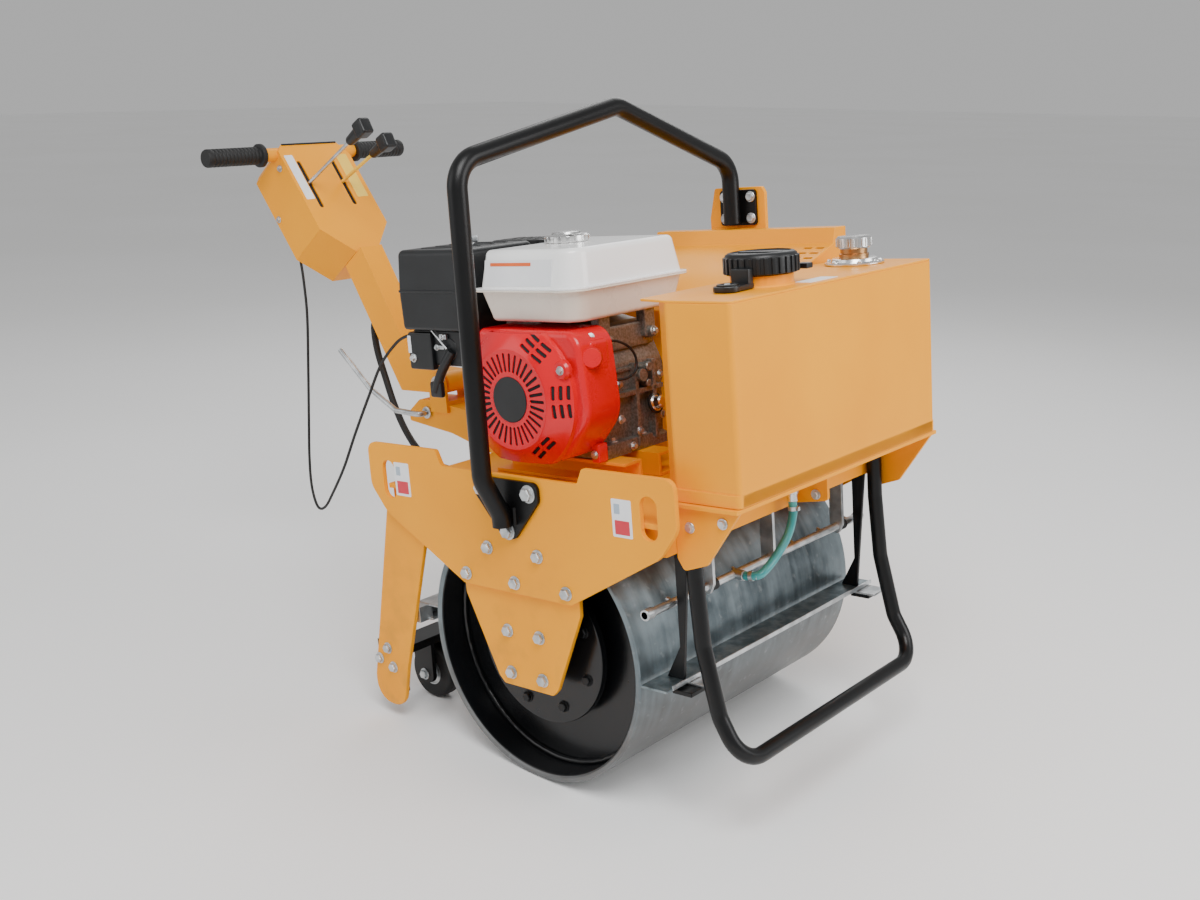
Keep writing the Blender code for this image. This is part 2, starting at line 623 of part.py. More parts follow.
# ---------------------------------------------------------------- engine
def make_engine():
    x, z = SHAFT_X, SHAFT_Z
    outline = [(ENGINE_FRONT, FEET, 0.0), (ENGINE_FRONT, FEET + 0.014, 0.0), (ENGINE_FRONT - 0.012, FEET + 0.018, 0.0),
               (ENGINE_FRONT - 0.008, z + 0.030, 0.020), (0.030, z + 0.085, 0.012), (-0.060, z + 0.103, 0.010),
               (-0.122, z + 0.103, 0.0), (-0.125, z + 0.088, 0.0), (-0.164, z + 0.088, 0.010),
               (-0.164, z + 0.020, 0.020), (-0.105, z - 0.050, 0.010),
               (-0.105, FEET, 0.0)]
    block = as_mesh(prism("engine_block", rounded(outline, 3), ENGINE_NEAR, ENGINE_FAR, "engine_alloy"))
    paint(block, "engine_alloy")

    near = -0.2485
    rear_y = ENGINE_NEAR - TOUCH
    outline = rounded([(x - 0.088, z - 0.050, 0.040), (x - 0.030, z - 0.094, 0.050), (x + 0.075, z - 0.096, 0.050),
                       (x + 0.132, z - 0.030, 0.060), (x + 0.120, z + 0.100, 0.030), (x - 0.088, z + 0.100, 0.010)])
    shroud = as_mesh(prism("fan_shroud", outline, -0.222, rear_y, "red_enamel"))
    paint(shroud, "red_enamel")
    dome = cylinder("shroud_dome", (x, near, z), (x, -0.218, z), 0.084, tip=0.093, sides=48)
    centre = Vector((x + 0.016, z + 0.003))
    inside = [centre + (Vector((p[0], p[1])) - centre) * 0.95 for p in outline]
    hollow = as_mesh(prism("shroud_hollow", inside, -0.219, rear_y + 0.010))
    cut(join(shroud, dome), hollow)

    low = FEET + FUEL_TANK_RISE
    high = low + FUEL_TANK_HEIGHT
    seam = low + FUEL_SEAM_RISE
    tank = box("fuel_tank", (-0.104, -0.220, low), (0.090, 0.036, high), "white_enamel", 0.016)
    flange = box("fuel_tank_seam", (-0.111, -0.227, seam - 0.003), (0.097, 0.043, seam + 0.003))
    wall = 0.005
    hollow = box("fuel_tank_hollow", (-0.104 + wall, -0.220 + wall, low + wall),
                 (0.090 - wall, 0.036 - wall, high - wall), bevel=0.014)
    opening = cylinder("fuel_mouth", (-0.045, -0.080, high - 0.010), (-0.045, -0.080, high + 0.010), 0.016, sides=24)
    cut(join(tank, flange), hollow, opening)
    cap = cylinder("fuel_cap", (-0.045, -0.080, high + TOUCH), (-0.045, -0.080, high + 0.023), 0.030, "chrome", sides=32)

    low = FEET + CLEANER_RISE
    cleaner = box("air_cleaner", (-0.294, -0.222, low), (-0.128, -0.062, low + CLEANER_HEIGHT), "black_plastic", 0.010)
    control = box("carburettor", (-0.286, -0.212, low - TOUCH - CARBURETTOR_HEIGHT), (-0.170, -0.080, low - TOUCH),
                  "black_plastic", 0.004)
    low = FEET + MUFFLER_RISE
    muffler = box("muffler", (-0.262, -0.050, low), (-0.130, 0.036, low + MUFFLER_HEIGHT), "black_paint", 0.012)
    stub = box("muffler_stub", (-0.200, -0.030, low - 0.0455), (-0.1645, 0.000, low + 0.0045))
    join(muffler, stub)
    filler = cylinder("oil_filler", (ENGINE_FRONT - 0.030, -0.060, 0.384), (ENGINE_FRONT + 0.010, -0.060, 0.388),
                      0.010, sides=20)
    housing = cylinder("output_housing", (x, ENGINE_FAR - 0.002, z), (x, 0.0597, z), 0.045, sides=32)
    join(block, filler, housing)
    return [block, shroud, tank, cap, cleaner, control, muffler]


def make_belt_guard():
    """An open-bottomed hood over the belt, with louvre slots in its sloping near face."""
    near, far = 0.060, 0.2895
    ridge = 0.581
    outline = [(far, DECK_TOP + TOUCH), (far, ridge), (0.258, ridge), (0.250, 0.556), (0.130, 0.515), (near, 0.470),
               (near, DECK_TOP + TOUCH)]
    low_x, high_x = -0.140, 0.226
    guard = as_mesh(prism("belt_guard", outline, low_x, high_x, "yellow_paint", "YZ"))
    paint(guard, "yellow_paint")
    t = SHEET
    inner = [(far - t, DECK_TOP - 0.02), (far - t, ridge - t), (0.258 + t, ridge - t), (0.250 + t, 0.556 - t),
             (0.130 + t, 0.515 - t), (near + t, 0.470 - t), (near + t, DECK_TOP - 0.02)]
    hollow = as_mesh(prism("guard_hollow", inner, low_x + t, high_x - t, plane="YZ"))
    return [cut(guard, hollow)]


def make_side_belt_cover():
    """The lower belt runs down outside the left side plate, under its own cover."""
    inside = SIDE_OUT + TOUCH
    outline = rounded([(-0.060, 0.235, 0.020), (0.060, 0.235, 0.020), (0.088, 0.010, 0.080), (0.030, -0.080, 0.045),
                       (-0.030, -0.080, 0.045), (-0.088, 0.010, 0.080)], 4)
    return [prism("drive_cover", outline, inside, inside + 0.040, "yellow_paint")]


# ---------------------------------------------------------------- handle
def make_handle_mount():
    """Arm behind the deck, with the block and ears that hold the handle's pin."""
    start = -DECK_LENGTH / 2 - TOUCH
    outline = rounded([(start, DECK_TOP + 0.052, 0.0), (-0.412, 0.303, 0.0), (-0.412, 0.310, 0.0),
                       (-0.492, 0.310, 0.012), (-0.524, 0.286, 0.012), (-0.524, 0.268, 0.004), (-0.412, 0.252, 0.0),
                       (start, DECK_BOTTOM - 0.012, 0.0)], 3)
    mount = as_mesh(prism("handle_mount", outline, -0.030, 0.030, "yellow_paint"))
    paint(mount, "yellow_paint")
    hollow = box("mount_hollow", (-0.400, -0.024, 0.252), (start + 0.01, 0.024, 0.284))
    ear = COLUMN_WIDTH / 2 + RUNNING_GAP
    outline = rounded([(PIVOT_X - 0.024, 0.300, 0.0), (PIVOT_X + 0.020, 0.300, 0.0), (PIVOT_X + 0.020, PIVOT_Z + 0.018, 0.018),
                       (PIVOT_X - 0.024, PIVOT_Z + 0.018, 0.018)], 3)
    tools = []
    for word, side in both_sides():
        tools.append(as_mesh(prism("mount_ear_" + word, outline, *span(side, ear, ear + 0.006))))
    pin = cylinder("mount_pin", (PIVOT_X, -ear - 0.012, PIVOT_Z), (PIVOT_X, ear + 0.012, PIVOT_Z),
                   PIVOT_PIN_RADIUS, sides=24)
    pads = []
    for word, side in both_sides():
        low, high = span(side, 0.024, ear + 0.006)
        pads.append(box("ear_pad_" + word, (PIVOT_X - 0.024, low, 0.290), (PIVOT_X + 0.020, high, 0.3095)))
    return [join(cut(mount, hollow), *pads, *tools, pin)]


def make_lock_rod():
    points = [(-0.471, -0.0309, 0.287), (-0.472, -0.050, 0.286), (-0.520, -0.066, 0.294), (-0.582, -0.070, 0.332),
              (-0.655, -0.072, 0.402)]
    return [tube("lock_rod", rounded_path(points, 0.014, 4), 0.0052, "zinc_plate", 2)]


def column_direction():
    """Unit vector up the column, in the machine's XZ plane."""
    return Vector((-0.102, 0.0, 0.188)).normalized()


def console_frame():
    """Origin at the top edge of the panel, first axis down the panel, second axis out of its back."""
    along = Vector((0.560, 0.0, -0.8285)).normalized()
    depth = Vector((along.z, 0.0, -along.x))
    return Vector((-0.770, 0.0, 0.785)), along, depth


def up_to_console(foot, way):
    """The point where an edge of the column meets the console's lower end."""
    origin, down, _ = console_frame()
    return foot + way * ((PANEL_LENGTH + TOUCH - (foot - origin).dot(down)) / way.dot(down))


def make_column():
    """Box-section column with an elbow at its foot that the pin passes through."""
    up = column_direction()
    across = Vector((up.z, 0.0, -up.x))
    rear_foot = Vector((-0.546, 0.0, 0.323))
    rear_top = up_to_console(rear_foot, up)
    front_top = up_to_console(rear_foot + across * COLUMN_DEPTH, up)
    front_foot = rear_foot + across * COLUMN_DEPTH + up * 0.052
    round_end = 0.0195
    outline = rounded([(rear_foot.x, rear_foot.z, 0.004), (PIVOT_X + round_end, PIVOT_Z - round_end, round_end * 0.98),
                       (PIVOT_X + round_end, PIVOT_Z + round_end, round_end * 0.98),
                       (front_foot.x + 0.020, PIVOT_Z + round_end + 0.004, 0.010), (front_foot.x, front_foot.z, 0.010),
                       (front_top.x, front_top.z, 0.0), (rear_top.x, rear_top.z, 0.0)], 4)
    half = COLUMN_WIDTH / 2
    column = as_mesh(prism("handle_column", outline, -half, half, "yellow_paint"))
    paint(column, "yellow_paint")
    wall = COLUMN_WALL
    low_rear = rear_foot + across * wall + up * 0.075
    low_front = rear_foot + across * (COLUMN_DEPTH - wall) + up * 0.075
    high_front = front_top - across * wall + up * 0.010
    high_rear = rear_top + across * wall + up * 0.010
    corners = [(p.x, p.z) for p in (low_rear, low_front, high_front, high_rear)]
    hollow = as_mesh(prism("column_hollow", corners, -half + wall, half - wall))
    bore = cylinder("column_bore", (PIVOT_X, -0.05, PIVOT_Z), (PIVOT_X, 0.05, PIVOT_Z), PIVOT_PIN_RADIUS + PIVOT_FIT,
                    sides=24)
    return [cut(column, hollow, bore)]


def console_point(along, across, depth):
    origin, down, back = console_frame()
    return origin + down * along + back * depth + Vector((0.0, across, 0.0))


def console_prism(name, outline, shallow, deep):
    """An outline in the panel's plane, with thickness towards the console's back."""
    thing = as_mesh(prism(name, outline, -deep, -shallow, plane="XY"))
    origin, down, back = console_frame()
    turn = Matrix((down, Vector((0.0, 1.0, 0.0)), -back)).transposed().to_4x4()
    thing.matrix_world = Matrix.Translation(origin) @ turn @ thing.matrix_world
    return thing


def console_outline(wall=0.0):
    wide = CONSOLE_HALF_WIDTH - wall
    foot = 0.026 - wall * 0.5
    return [(wall, -wide + 0.012), (wall, wide - 0.018), (0.028, wide), (0.190, wide), (PANEL_LENGTH - wall, foot),
            (PANEL_LENGTH - wall, -foot), (0.190, -wide), (0.014, -wide)]


def make_console():
    deep = 0.100
    console = console_prism("console", console_outline(), 0.0, deep)
    parts.objects.link(console)
    cutters.objects.unlink(console)
    console.hide_render = False
    console.display_type = "TEXTURED"
    paint(console, "yellow_paint")
    bars = [cylinder("bar_stub_" + word, (BAR_X, side * 0.070, BAR_Z), (BAR_X, side * GRIP_START, BAR_Z),
                     BAR_RADIUS, sides=24) for word, side in both_sides()]
    hollow = console_prism("console_hollow", console_outline(SHEET), SHEET, deep + 0.02)
    slots = []
    for k, y in enumerate((-0.048, 0.030)):
        half = 0.0045
        ends = [(0.038, y - half, half * 0.97), (0.144, y - half, half * 0.97), (0.144, y + half, half * 0.97),
                (0.038, y + half, half * 0.97)]
        slots.append(console_prism("panel_slot_%d" % k, rounded(ends, 3), -0.01, 0.02))
    return [cut(join(console, *bars), hollow, *slots)]


def make_controls():
    made = []
    for word, side in both_sides():
        low = Vector((BAR_X, side * (GRIP_START + TOUCH), BAR_Z))
        high = Vector((BAR_X, side * GRIP_END, BAR_Z))
        made.append(cylinder("grip_" + word, low, high, GRIP_RADIUS, "black_rubber", sides=24))
    levers = (("travel", -0.048, (-0.533, -0.050, 0.806)), ("throttle", 0.030, (-0.566, 0.028, 0.780)))
    for word, y, tip in levers:
        foot = console_point(0.082, y, 0.045)
        tip = Vector(tip)
        way = (tip - foot).normalized()
        end = tip - way * 0.062
        lever = cylinder("lever_" + word, foot, end + way * 0.004, 0.0032, "zinc_plate", sides=16)
        made.append(join(lever, cylinder("lever_knob_" + word, end, tip, 0.0105, sides=20, tip=0.0145)))
    return made


# ---------------------------------------------------------------- cords
CABLE_ROUTE = [
    (-0.748, -0.0700, 0.5690), (-0.744, -0.0715, 0.5300), (-0.743, -0.0740, 0.4650), (-0.752, -0.0790, 0.3700),
    (-0.762, -0.0850, 0.2700), (-0.766, -0.0930, 0.1850), (-0.758, -0.1010, 0.1300), (-0.735, -0.1090, 0.0960),
    (-0.700, -0.1170, 0.1020), (-0.655, -0.1260, 0.1400), (-0.600, -0.1360, 0.1950), (-0.540, -0.1480, 0.2650),
    (-0.470, -0.1620, 0.3420), (-0.410, -0.1760, 0.4020), (-0.350, -0.1880, 0.4420), (-0.312, -0.1950, 0.4560),
    (-0.2865, -0.1980, 0.4580),
]
HOSE_ROUTE = [
    (-0.6275, 0.0, 0.4550), (-0.6380, 0.0, 0.4330), (-0.6330, -0.002, 0.3900), (-0.6130, -0.006, 0.3400),
    (-0.5880, -0.012, 0.2900), (-0.5540, -0.020, 0.2450), (-0.5100, -0.030, 0.2120), (-0.4600, -0.040, 0.1950),
    (-0.4000, -0.048, 0.1890), (-0.3500, -0.052, 0.1930), (-0.3100, -0.054, 0.1970), (-0.2806, -0.054, 0.1972),
]


def make_cords():
    cable = tube("throttle_cable", smooth_route(CABLE_ROUTE, 78), CABLE_RADIUS, "black_rubber", 2)
    hose = tube("control_hose", smooth_route(HOSE_ROUTE, 30), HOSE_RADIUS, "black_rubber", 3)
    return [cable, hose]


# ---------------------------------------------------------------- assembly
def empty(name, place, parent=None):
    thing = bpy.data.objects.new(name, None)
    parts.objects.link(thing)
    thing.location = place
    thing.parent = parent
    return thing


def hang(pieces, parent, point=(0.0, 0.0, 0.0)):
    """Parents pieces that are placed in the machine's frame to an empty that stands at point."""
    for piece in pieces:
        piece.parent = parent
        piece.matrix_parent_inverse = Matrix.Translation(-Vector(point))


def stand_on_floor(machine):
    """Moves the machine so that the middle of the underside of its box is the scene's origin."""
    bpy.context.view_layer.update()
    graph = bpy.context.evaluated_depsgraph_get()
    low, high = Vector((9, 9, 9)), Vector((-9, -9, -9))
    for piece in parts.objects:
        if piece.type == "EMPTY" or piece.name in ("throttle_cable", "control_hose"):
            continue
        solid = piece.evaluated_get(graph)
        mesh = solid.to_mesh()
        for vertex in mesh.vertices:
            place = piece.matrix_world @ vertex.co
            low = Vector(map(min, low, place))
            high = Vector(map(max, high, place))
        solid.to_mesh_clear()
    machine.location -= Vector(((low.x + high.x) / 2, (low.y + high.y) / 2, low.z))


def build():
    global parts, cutters
    clear_scene()
    parts = new_collection("walk_behind_roller")
    cutters = new_collection("cutters")
    machine = empty("machine", (0, 0, 0))

    frame = make_axles() + make_side_plates() + make_axle_brackets() + make_deck() + make_engine_rails()
    frame += make_rear_legs() + make_tank() + make_tank_supports() + make_sprinkler() + make_scrapers()
    frame += make_front_stand() + make_hoop() + make_engine() + make_belt_guard() + make_side_belt_cover()
    frame += make_handle_mount() + make_lock_rod() + make_cords()
    wheels, brackets = make_wheels()
    handle = make_column() + make_console() + make_controls()
    drum = make_drum()

    hang(frame + brackets + wheels + drum + list(cutters.objects), machine)
    pivot_point = (PIVOT_X, 0.0, PIVOT_Z)
    pivot = empty("handle_pivot", pivot_point, machine)
    hang(handle, pivot, pivot_point)
    machine.rotation_euler = (0.0, -PITCH, 0.0)
    stand_on_floor(machine)
    cutters.hide_render = True


build()
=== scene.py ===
"""Looks for a single-drum walk-behind vibratory roller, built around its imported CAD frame.

Pieces are made in the machine's own frame, as it would be drawn on paper: +X forward to the water tank,
+Y to the machine's left, +Z up through the deck, origin at the middle of the drum's axis. MACHINE then
pitches them to where the drum and the two rear wheels stand on the floor.
"""
import json
import math

import bmesh
import bpy
from mathutils import Matrix, Vector, noise


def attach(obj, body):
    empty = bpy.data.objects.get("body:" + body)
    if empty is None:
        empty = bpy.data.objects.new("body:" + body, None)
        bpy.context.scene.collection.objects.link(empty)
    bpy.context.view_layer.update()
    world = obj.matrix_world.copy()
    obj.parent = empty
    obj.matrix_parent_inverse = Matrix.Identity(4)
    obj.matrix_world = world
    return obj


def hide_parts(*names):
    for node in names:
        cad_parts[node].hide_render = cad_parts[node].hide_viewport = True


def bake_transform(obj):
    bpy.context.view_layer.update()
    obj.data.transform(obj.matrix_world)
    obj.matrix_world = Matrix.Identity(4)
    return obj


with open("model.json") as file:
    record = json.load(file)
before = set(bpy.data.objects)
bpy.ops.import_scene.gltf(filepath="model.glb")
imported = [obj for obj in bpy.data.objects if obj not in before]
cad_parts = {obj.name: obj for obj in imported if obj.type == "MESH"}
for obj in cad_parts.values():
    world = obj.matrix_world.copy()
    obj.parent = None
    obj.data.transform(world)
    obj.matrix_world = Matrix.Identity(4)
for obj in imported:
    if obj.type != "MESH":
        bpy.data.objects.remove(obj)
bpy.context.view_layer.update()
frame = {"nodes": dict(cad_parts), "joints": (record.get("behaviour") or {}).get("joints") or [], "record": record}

JOINTS = {joint["name"]: joint for joint in frame["joints"]}
MOUNTS = {mount["name"]: mount for mount in frame["record"]["mounts"]}
FORWARD = Vector(MOUNTS["tank_front_face"]["axis"]).normalized()
LEFT = Vector((0.0, 1.0, 0.0))
UP = FORWARD.cross(LEFT)
AXLE = Vector(JOINTS["drum_roll"]["pos_m"])
MACHINE = Matrix.Translation(AXLE) @ Matrix((FORWARD, LEFT, UP)).transposed().to_4x4()
LEVEL = MACHINE.inverted()
NEAR, FAR, TOP, AHEAD = (0, -1, 0), (0, 1, 0), (0, 0, 1), (1, 0, 0)


# ---------------------------------------------------------------- routes and outlines
def arc_corner(before, corner, after, radius, steps):
    before, corner, after = Vector(before), Vector(corner), Vector(after)
    back, ahead = (before - corner).normalized(), (after - corner).normalized()
    half = back.angle(ahead) / 2
    if radius <= 0.0 or half > math.pi / 2 - 0.01:
        return [corner]
    middle = corner + (back + ahead).normalized() * radius / math.sin(half)
    start = corner + back * radius / math.tan(half) - middle
    end = corner + ahead * radius / math.tan(half) - middle
    sweep = start.angle(end)
    return [middle + (start * math.sin(sweep * (1 - k / steps)) + end * math.sin(sweep * k / steps))
            / math.sin(sweep) for k in range(steps + 1)]


def rounded(points, steps=6):
    flat = [Vector(point[:2]).to_3d() for point in points]
    outline = []
    for k, point in enumerate(points):
        outline += arc_corner(flat[k - 1], flat[k], flat[(k + 1) % len(flat)], point[2], steps)
    return outline


def oblong(low, high, radius, steps=6):
    (a, b), (c, d) = low, high
    return rounded([(a, b, radius), (c, b, radius), (c, d, radius), (a, d, radius)], steps)


def bent(points, radius, steps=14):
    path = [Vector(points[0])]
    for before, corner, after in zip(points, points[1:], points[2:]):
        path += arc_corner(before, corner, after, radius, steps)
    return path + [Vector(points[-1])]


def flowing(points, count):
    """Evenly spaced points on a smooth curve through the given ones."""
    knots = [Vector(p) for p in points]
    knots = [knots[0] * 2 - knots[1]] + knots + [knots[-1] * 2 - knots[-2]]
    fine = []
    for a, b, c, d in zip(knots, knots[1:], knots[2:], knots[3:]):
        for k in range(24):
            t = k / 24
            fine.append(0.5 * (2 * b + (c - a) * t + (2 * a - 5 * b + 4 * c - d) * t * t
                               + (3 * b - a - 3 * c + d) * t ** 3))
    fine.append(knots[-2])
    walked = [0.0]
    for first, second in zip(fine, fine[1:]):
        walked.append(walked[-1] + (second - first).length)
    route, k = [], 0
    for step in range(count):
        wanted = walked[-1] * step / (count - 1)
        while k < len(fine) - 2 and walked[k + 1] < wanted:
            k += 1
        route.append(fine[k].lerp(fine[k + 1], (wanted - walked[k]) / (walked[k + 1] - walked[k])))
    return route


# ---------------------------------------------------------------- solids, as bmeshes in the machine's frame
def bevel(shape, edges, width, steps):
    if edges:
        bmesh.ops.bevel(shape, geom=edges, offset=width, affect="EDGES", segments=steps, profile=0.5,
                        material=-1, clamp_overlap=True)


def block(low, high, soft=0.0, steps=2):
    low, high = Vector(low), Vector(high)
    shape = bmesh.new()
    bmesh.ops.create_cube(shape, size=1.0)
    bmesh.ops.scale(shape, vec=high - low, verts=shape.verts)
    bmesh.ops.translate(shape, vec=(low + high) / 2, verts=shape.verts)
    if soft:
        bevel(shape, shape.edges[:], soft, steps)
    return shape


def aim(shape, start, way):
    turn = Vector(way).to_track_quat("Z", "Y").to_matrix().to_4x4()
    bmesh.ops.transform(shape, matrix=Matrix.Translation(start) @ turn, verts=shape.verts)
    return shape


def swung(shape, place, degrees, axis="Z"):
    """Turned about an axis through the origin, then moved to its place."""
    turn = Matrix.Translation(place) @ Matrix.Rotation(math.radians(degrees), 4, axis)
    bmesh.ops.transform(shape, matrix=turn, verts=shape.verts)
    return shape


def turned(profile, start, way, steps=32, ring=False):
    """A profile of (radius, distance) spun about the line that leaves start along way."""
    shape = bmesh.new()
    rim = [shape.verts.new((radius, 0.0, far)) for radius, far in profile]
    pairs = zip(rim, rim[1:] + rim[:1]) if ring else zip(rim, rim[1:])
    edges = [shape.edges.new(pair) for pair in pairs]
    bmesh.ops.spin(shape, geom=rim + edges, cent=(0, 0, 0), axis=(0, 0, 1), angle=2 * math.pi, steps=steps,
                   use_merge=True)
    bmesh.ops.remove_doubles(shape, verts=shape.verts, dist=0.000002)
    return aim(shape, start, way)


def rod(start, end, radius, soft=0.0008, steps=24, tip=None):
    start, end = Vector(start), Vector(end)
    long = (end - start).length
    tip = radius if tip is None else tip
    profile = [(0, 0), (radius - soft, 0), (radius, soft), (tip, long - soft), (tip - soft, long), (0, long)]
    return turned(profile, start, end - start, steps)


def rim_at(shape, axis, value):
    return [e for e in shape.edges if all(abs(v.co[axis] - value) < 0.00001 for v in e.verts)]


def plate(outline, low, high, plane="XZ", soft=0.0, steps=2, ends=(0, 1)):
    """An outline with thickness; soft breaks the edges of its low end, its high end or both."""
    axis = {"XZ": 1, "YZ": 0, "XY": 2}[plane]

    def place(a, b, c):
        return {1: (a, c, b), 0: (c, a, b), 2: (a, b, c)}[axis]

    shape = bmesh.new()
    face = shape.faces.new([shape.verts.new(place(p[0], p[1], low)) for p in outline])
    grown = bmesh.ops.extrude_face_region(shape, geom=[face])["geom"]
    moved = [v for v in grown if isinstance(v, bmesh.types.BMVert)]
    bmesh.ops.translate(shape, vec=place(0, 0, high - low), verts=moved)
    if soft:
        bevel(shape, [e for end in ends for e in rim_at(shape, axis, (low, high)[end])], soft, steps)
    return shape


def pan(outline, base, top, shrink, soft, steps=6):
    """A pressed half: its walls lean in towards the closed end, whose rim is softly rounded."""
    shape = plate(outline, base, top, "XY")
    middle = sum((Vector(p[:2]).to_3d() for p in outline), Vector()) / len(outline)
    for vertex in shape.verts:
        if abs(vertex.co.z - top) < 0.00001:
            flat = middle + (Vector((vertex.co.x, vertex.co.y, 0.0)) - middle) * shrink
            vertex.co = (flat.x, flat.y, top)
    bevel(shape, rim_at(shape, 2, top), soft, steps)
    return shape


def tube(points, radius, around=4):
    curve = bpy.data.curves.new("tube", "CURVE")
    curve.dimensions = "3D"
    curve.bevel_depth = radius
    curve.bevel_resolution = around
    curve.use_fill_caps = True
    spline = curve.splines.new("POLY")
    spline.points.add(len(points) - 1)
    for point, place in zip(spline.points, points):
        point.co = (*place, 1.0)
    thing = bpy.data.objects.new("tube", curve)
    bpy.context.scene.collection.objects.link(thing)
    return taken(thing)


def taken(thing):
    """The evaluated mesh of a scratch object, which is removed."""
    bpy.context.view_layer.update()
    graph = bpy.context.evaluated_depsgraph_get()
    mesh = bpy.data.meshes.new_from_object(thing.evaluated_get(graph))
    shape = bmesh.new()
    shape.from_mesh(mesh)
    bmesh.ops.remove_doubles(shape, verts=shape.verts, dist=0.00001)
    bpy.data.meshes.remove(mesh)
    bpy.data.objects.remove(thing, do_unlink=True)
    return shape


def scratch(shape):
    bmesh.ops.recalc_face_normals(shape, faces=shape.faces)
    mesh = bpy.data.meshes.new("scratch")
    shape.to_mesh(mesh)
    shape.free()
    thing = bpy.data.objects.new("scratch", mesh)
    bpy.context.scene.collection.objects.link(thing)
    return thing


def merge(*shapes):
    whole = bmesh.new()
    for shape in shapes:
        bmesh.ops.recalc_face_normals(shape, faces=shape.faces)
        mesh = bpy.data.meshes.new("part")
        shape.to_mesh(mesh)
        shape.free()
        whole.from_mesh(mesh)
        bpy.data.meshes.remove(mesh)
    return whole


def carve(shape, tool):
    body, knife = scratch(shape), scratch(tool)
    step = body.modifiers.new("cut", "BOOLEAN")
    step.object = knife
    step.operation = "DIFFERENCE"
    step.solver = "EXACT"
    result = taken(body)
    bpy.data.objects.remove(knife, do_unlink=True)
    return result


def softened(node, width=0.001, steps=2, least=28):
    """A CAD solid's own shape with its sharp edges broken."""
    shape = bmesh.new()
    shape.from_mesh(frame["nodes"][node].data)
    shape.transform(LEVEL)
    bmesh.ops.remove_doubles(shape, verts=shape.verts, dist=0.00002)
    bmesh.ops.dissolve_limit(shape, angle_limit=math.radians(1), verts=shape.verts, edges=shape.edges)
    sharp = [e for e in shape.edges if len(e.link_faces) == 2 and e.calc_face_angle() > math.radians(least)]
    bevel(shape, sharp, width, steps)
    return shape


def bolt(centre, way, across=0.0088, high=0.0078, washer=0.0108):
    """A hexagon head on a plain washer, both standing on the surface at centre."""
    ring = turned([(0, 0), (washer, 0), (washer, 0.0012), (washer - 0.0006, 0.0018), (0, 0.0018)], centre,
                  way, 28)
    head = turned([(0, 0.0016), (across, 0.0016), (across, high - 0.0014), (across * 0.86, high),
                   (across * 0.5, high), (0, high - 0.0004)], centre, way, 6)
    return merge(ring, head)


def piece(name, shape, finish, body="chassis", stands_for=(), angle=34, weighted=True, loose=False):
    bmesh.ops.recalc_face_normals(shape, faces=shape.faces)
    shape.transform(MACHINE)
    mesh = bpy.data.meshes.new(name)
    shape.to_mesh(mesh)
    shape.free()
    mesh.shade_smooth()
    mesh.set_sharp_from_angle(angle=math.radians(angle))
    thing = bpy.data.objects.new(name, mesh)
    bpy.context.scene.collection.objects.link(thing)
    material, slot = FINISHES[finish]
    mesh.materials.append(material)
    if weighted:
        normals = thing.modifiers.new("normals", "WEIGHTED_NORMAL")
        normals.keep_sharp = True
    if not loose:
        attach(thing, body)
    if stands_for:
        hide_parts(*stands_for)
    return thing


# ---------------------------------------------------------------- materials
class Wire:
    """One socket of a material's tree, which can be used in sums."""

    def __init__(self, tree, socket):
        self.tree = tree
        self.socket = socket

    def make(self, kind, settings=None, sockets=None, out=0):
        node = self.tree.nodes.new("ShaderNode" + kind)
        for name, value in (settings or {}).items():
            setattr(node, name, value)
        for name, value in (sockets or {}).items():
            if isinstance(value, Wire):
                self.tree.links.new(value.socket, node.inputs[name])
            else:
                node.inputs[name].default_value = value
        return Wire(self.tree, node.outputs[out])

    def maths(self, operation, first, second):
        return self.make("Math", {"operation": operation}, {0: first, 1: second})

    def __add__(self, other):
        return self.maths("ADD", self, other)

    def __radd__(self, other):
        return self.maths("ADD", other, self)

    def __sub__(self, other):
        return self.maths("SUBTRACT", self, other)

    def __rsub__(self, other):
        return self.maths("SUBTRACT", other, self)

    def __mul__(self, other):
        return self.maths("MULTIPLY", self, other)

    def __rmul__(self, other):
        return self.maths("MULTIPLY", other, self)


def grain(place, scale, detail=3.0, stretch=None):
    if stretch:
        place = place.make("VectorMath", {"operation": "MULTIPLY"}, {0: place, 1: stretch})
    return place.make("TexNoise", {}, {"Vector": place, "Scale": scale, "Detail": detail})


def between(wire, low, high):
    return wire.make("MapRange", {"clamp": True}, {0: wire, 1: low, 2: high})


def tint(factor, first, second):
    ends = [(*colour, 1) if isinstance(colour, tuple) else colour for colour in (first, second)]
    return factor.make("Mix", {"data_type": "RGBA"}, {0: factor, 6: ends[0], 7: ends[1]}, 2)


def bumps(height, strength, distance=0.001):
    return height.make("Bump", {}, {"Strength": strength, "Distance": distance, "Height": height})


def height_of(place):
    return place.make("SeparateXYZ", {}, {0: place}, 2)


def material(name, recipe, **constants):
    made = bpy.data.materials.new(name)
    made.use_nodes = True
    tree = made.node_tree
    shader = tree.nodes["Principled BSDF"]
    for key, value in constants.items():
        shader.inputs[key.replace("_", " ")].default_value = value
    place = Wire(tree, tree.nodes.new("ShaderNodeTexCoord").outputs["Object"])
    for key, wire in recipe(place).items():
        tree.links.new(wire.socket, shader.inputs[key])
    return made


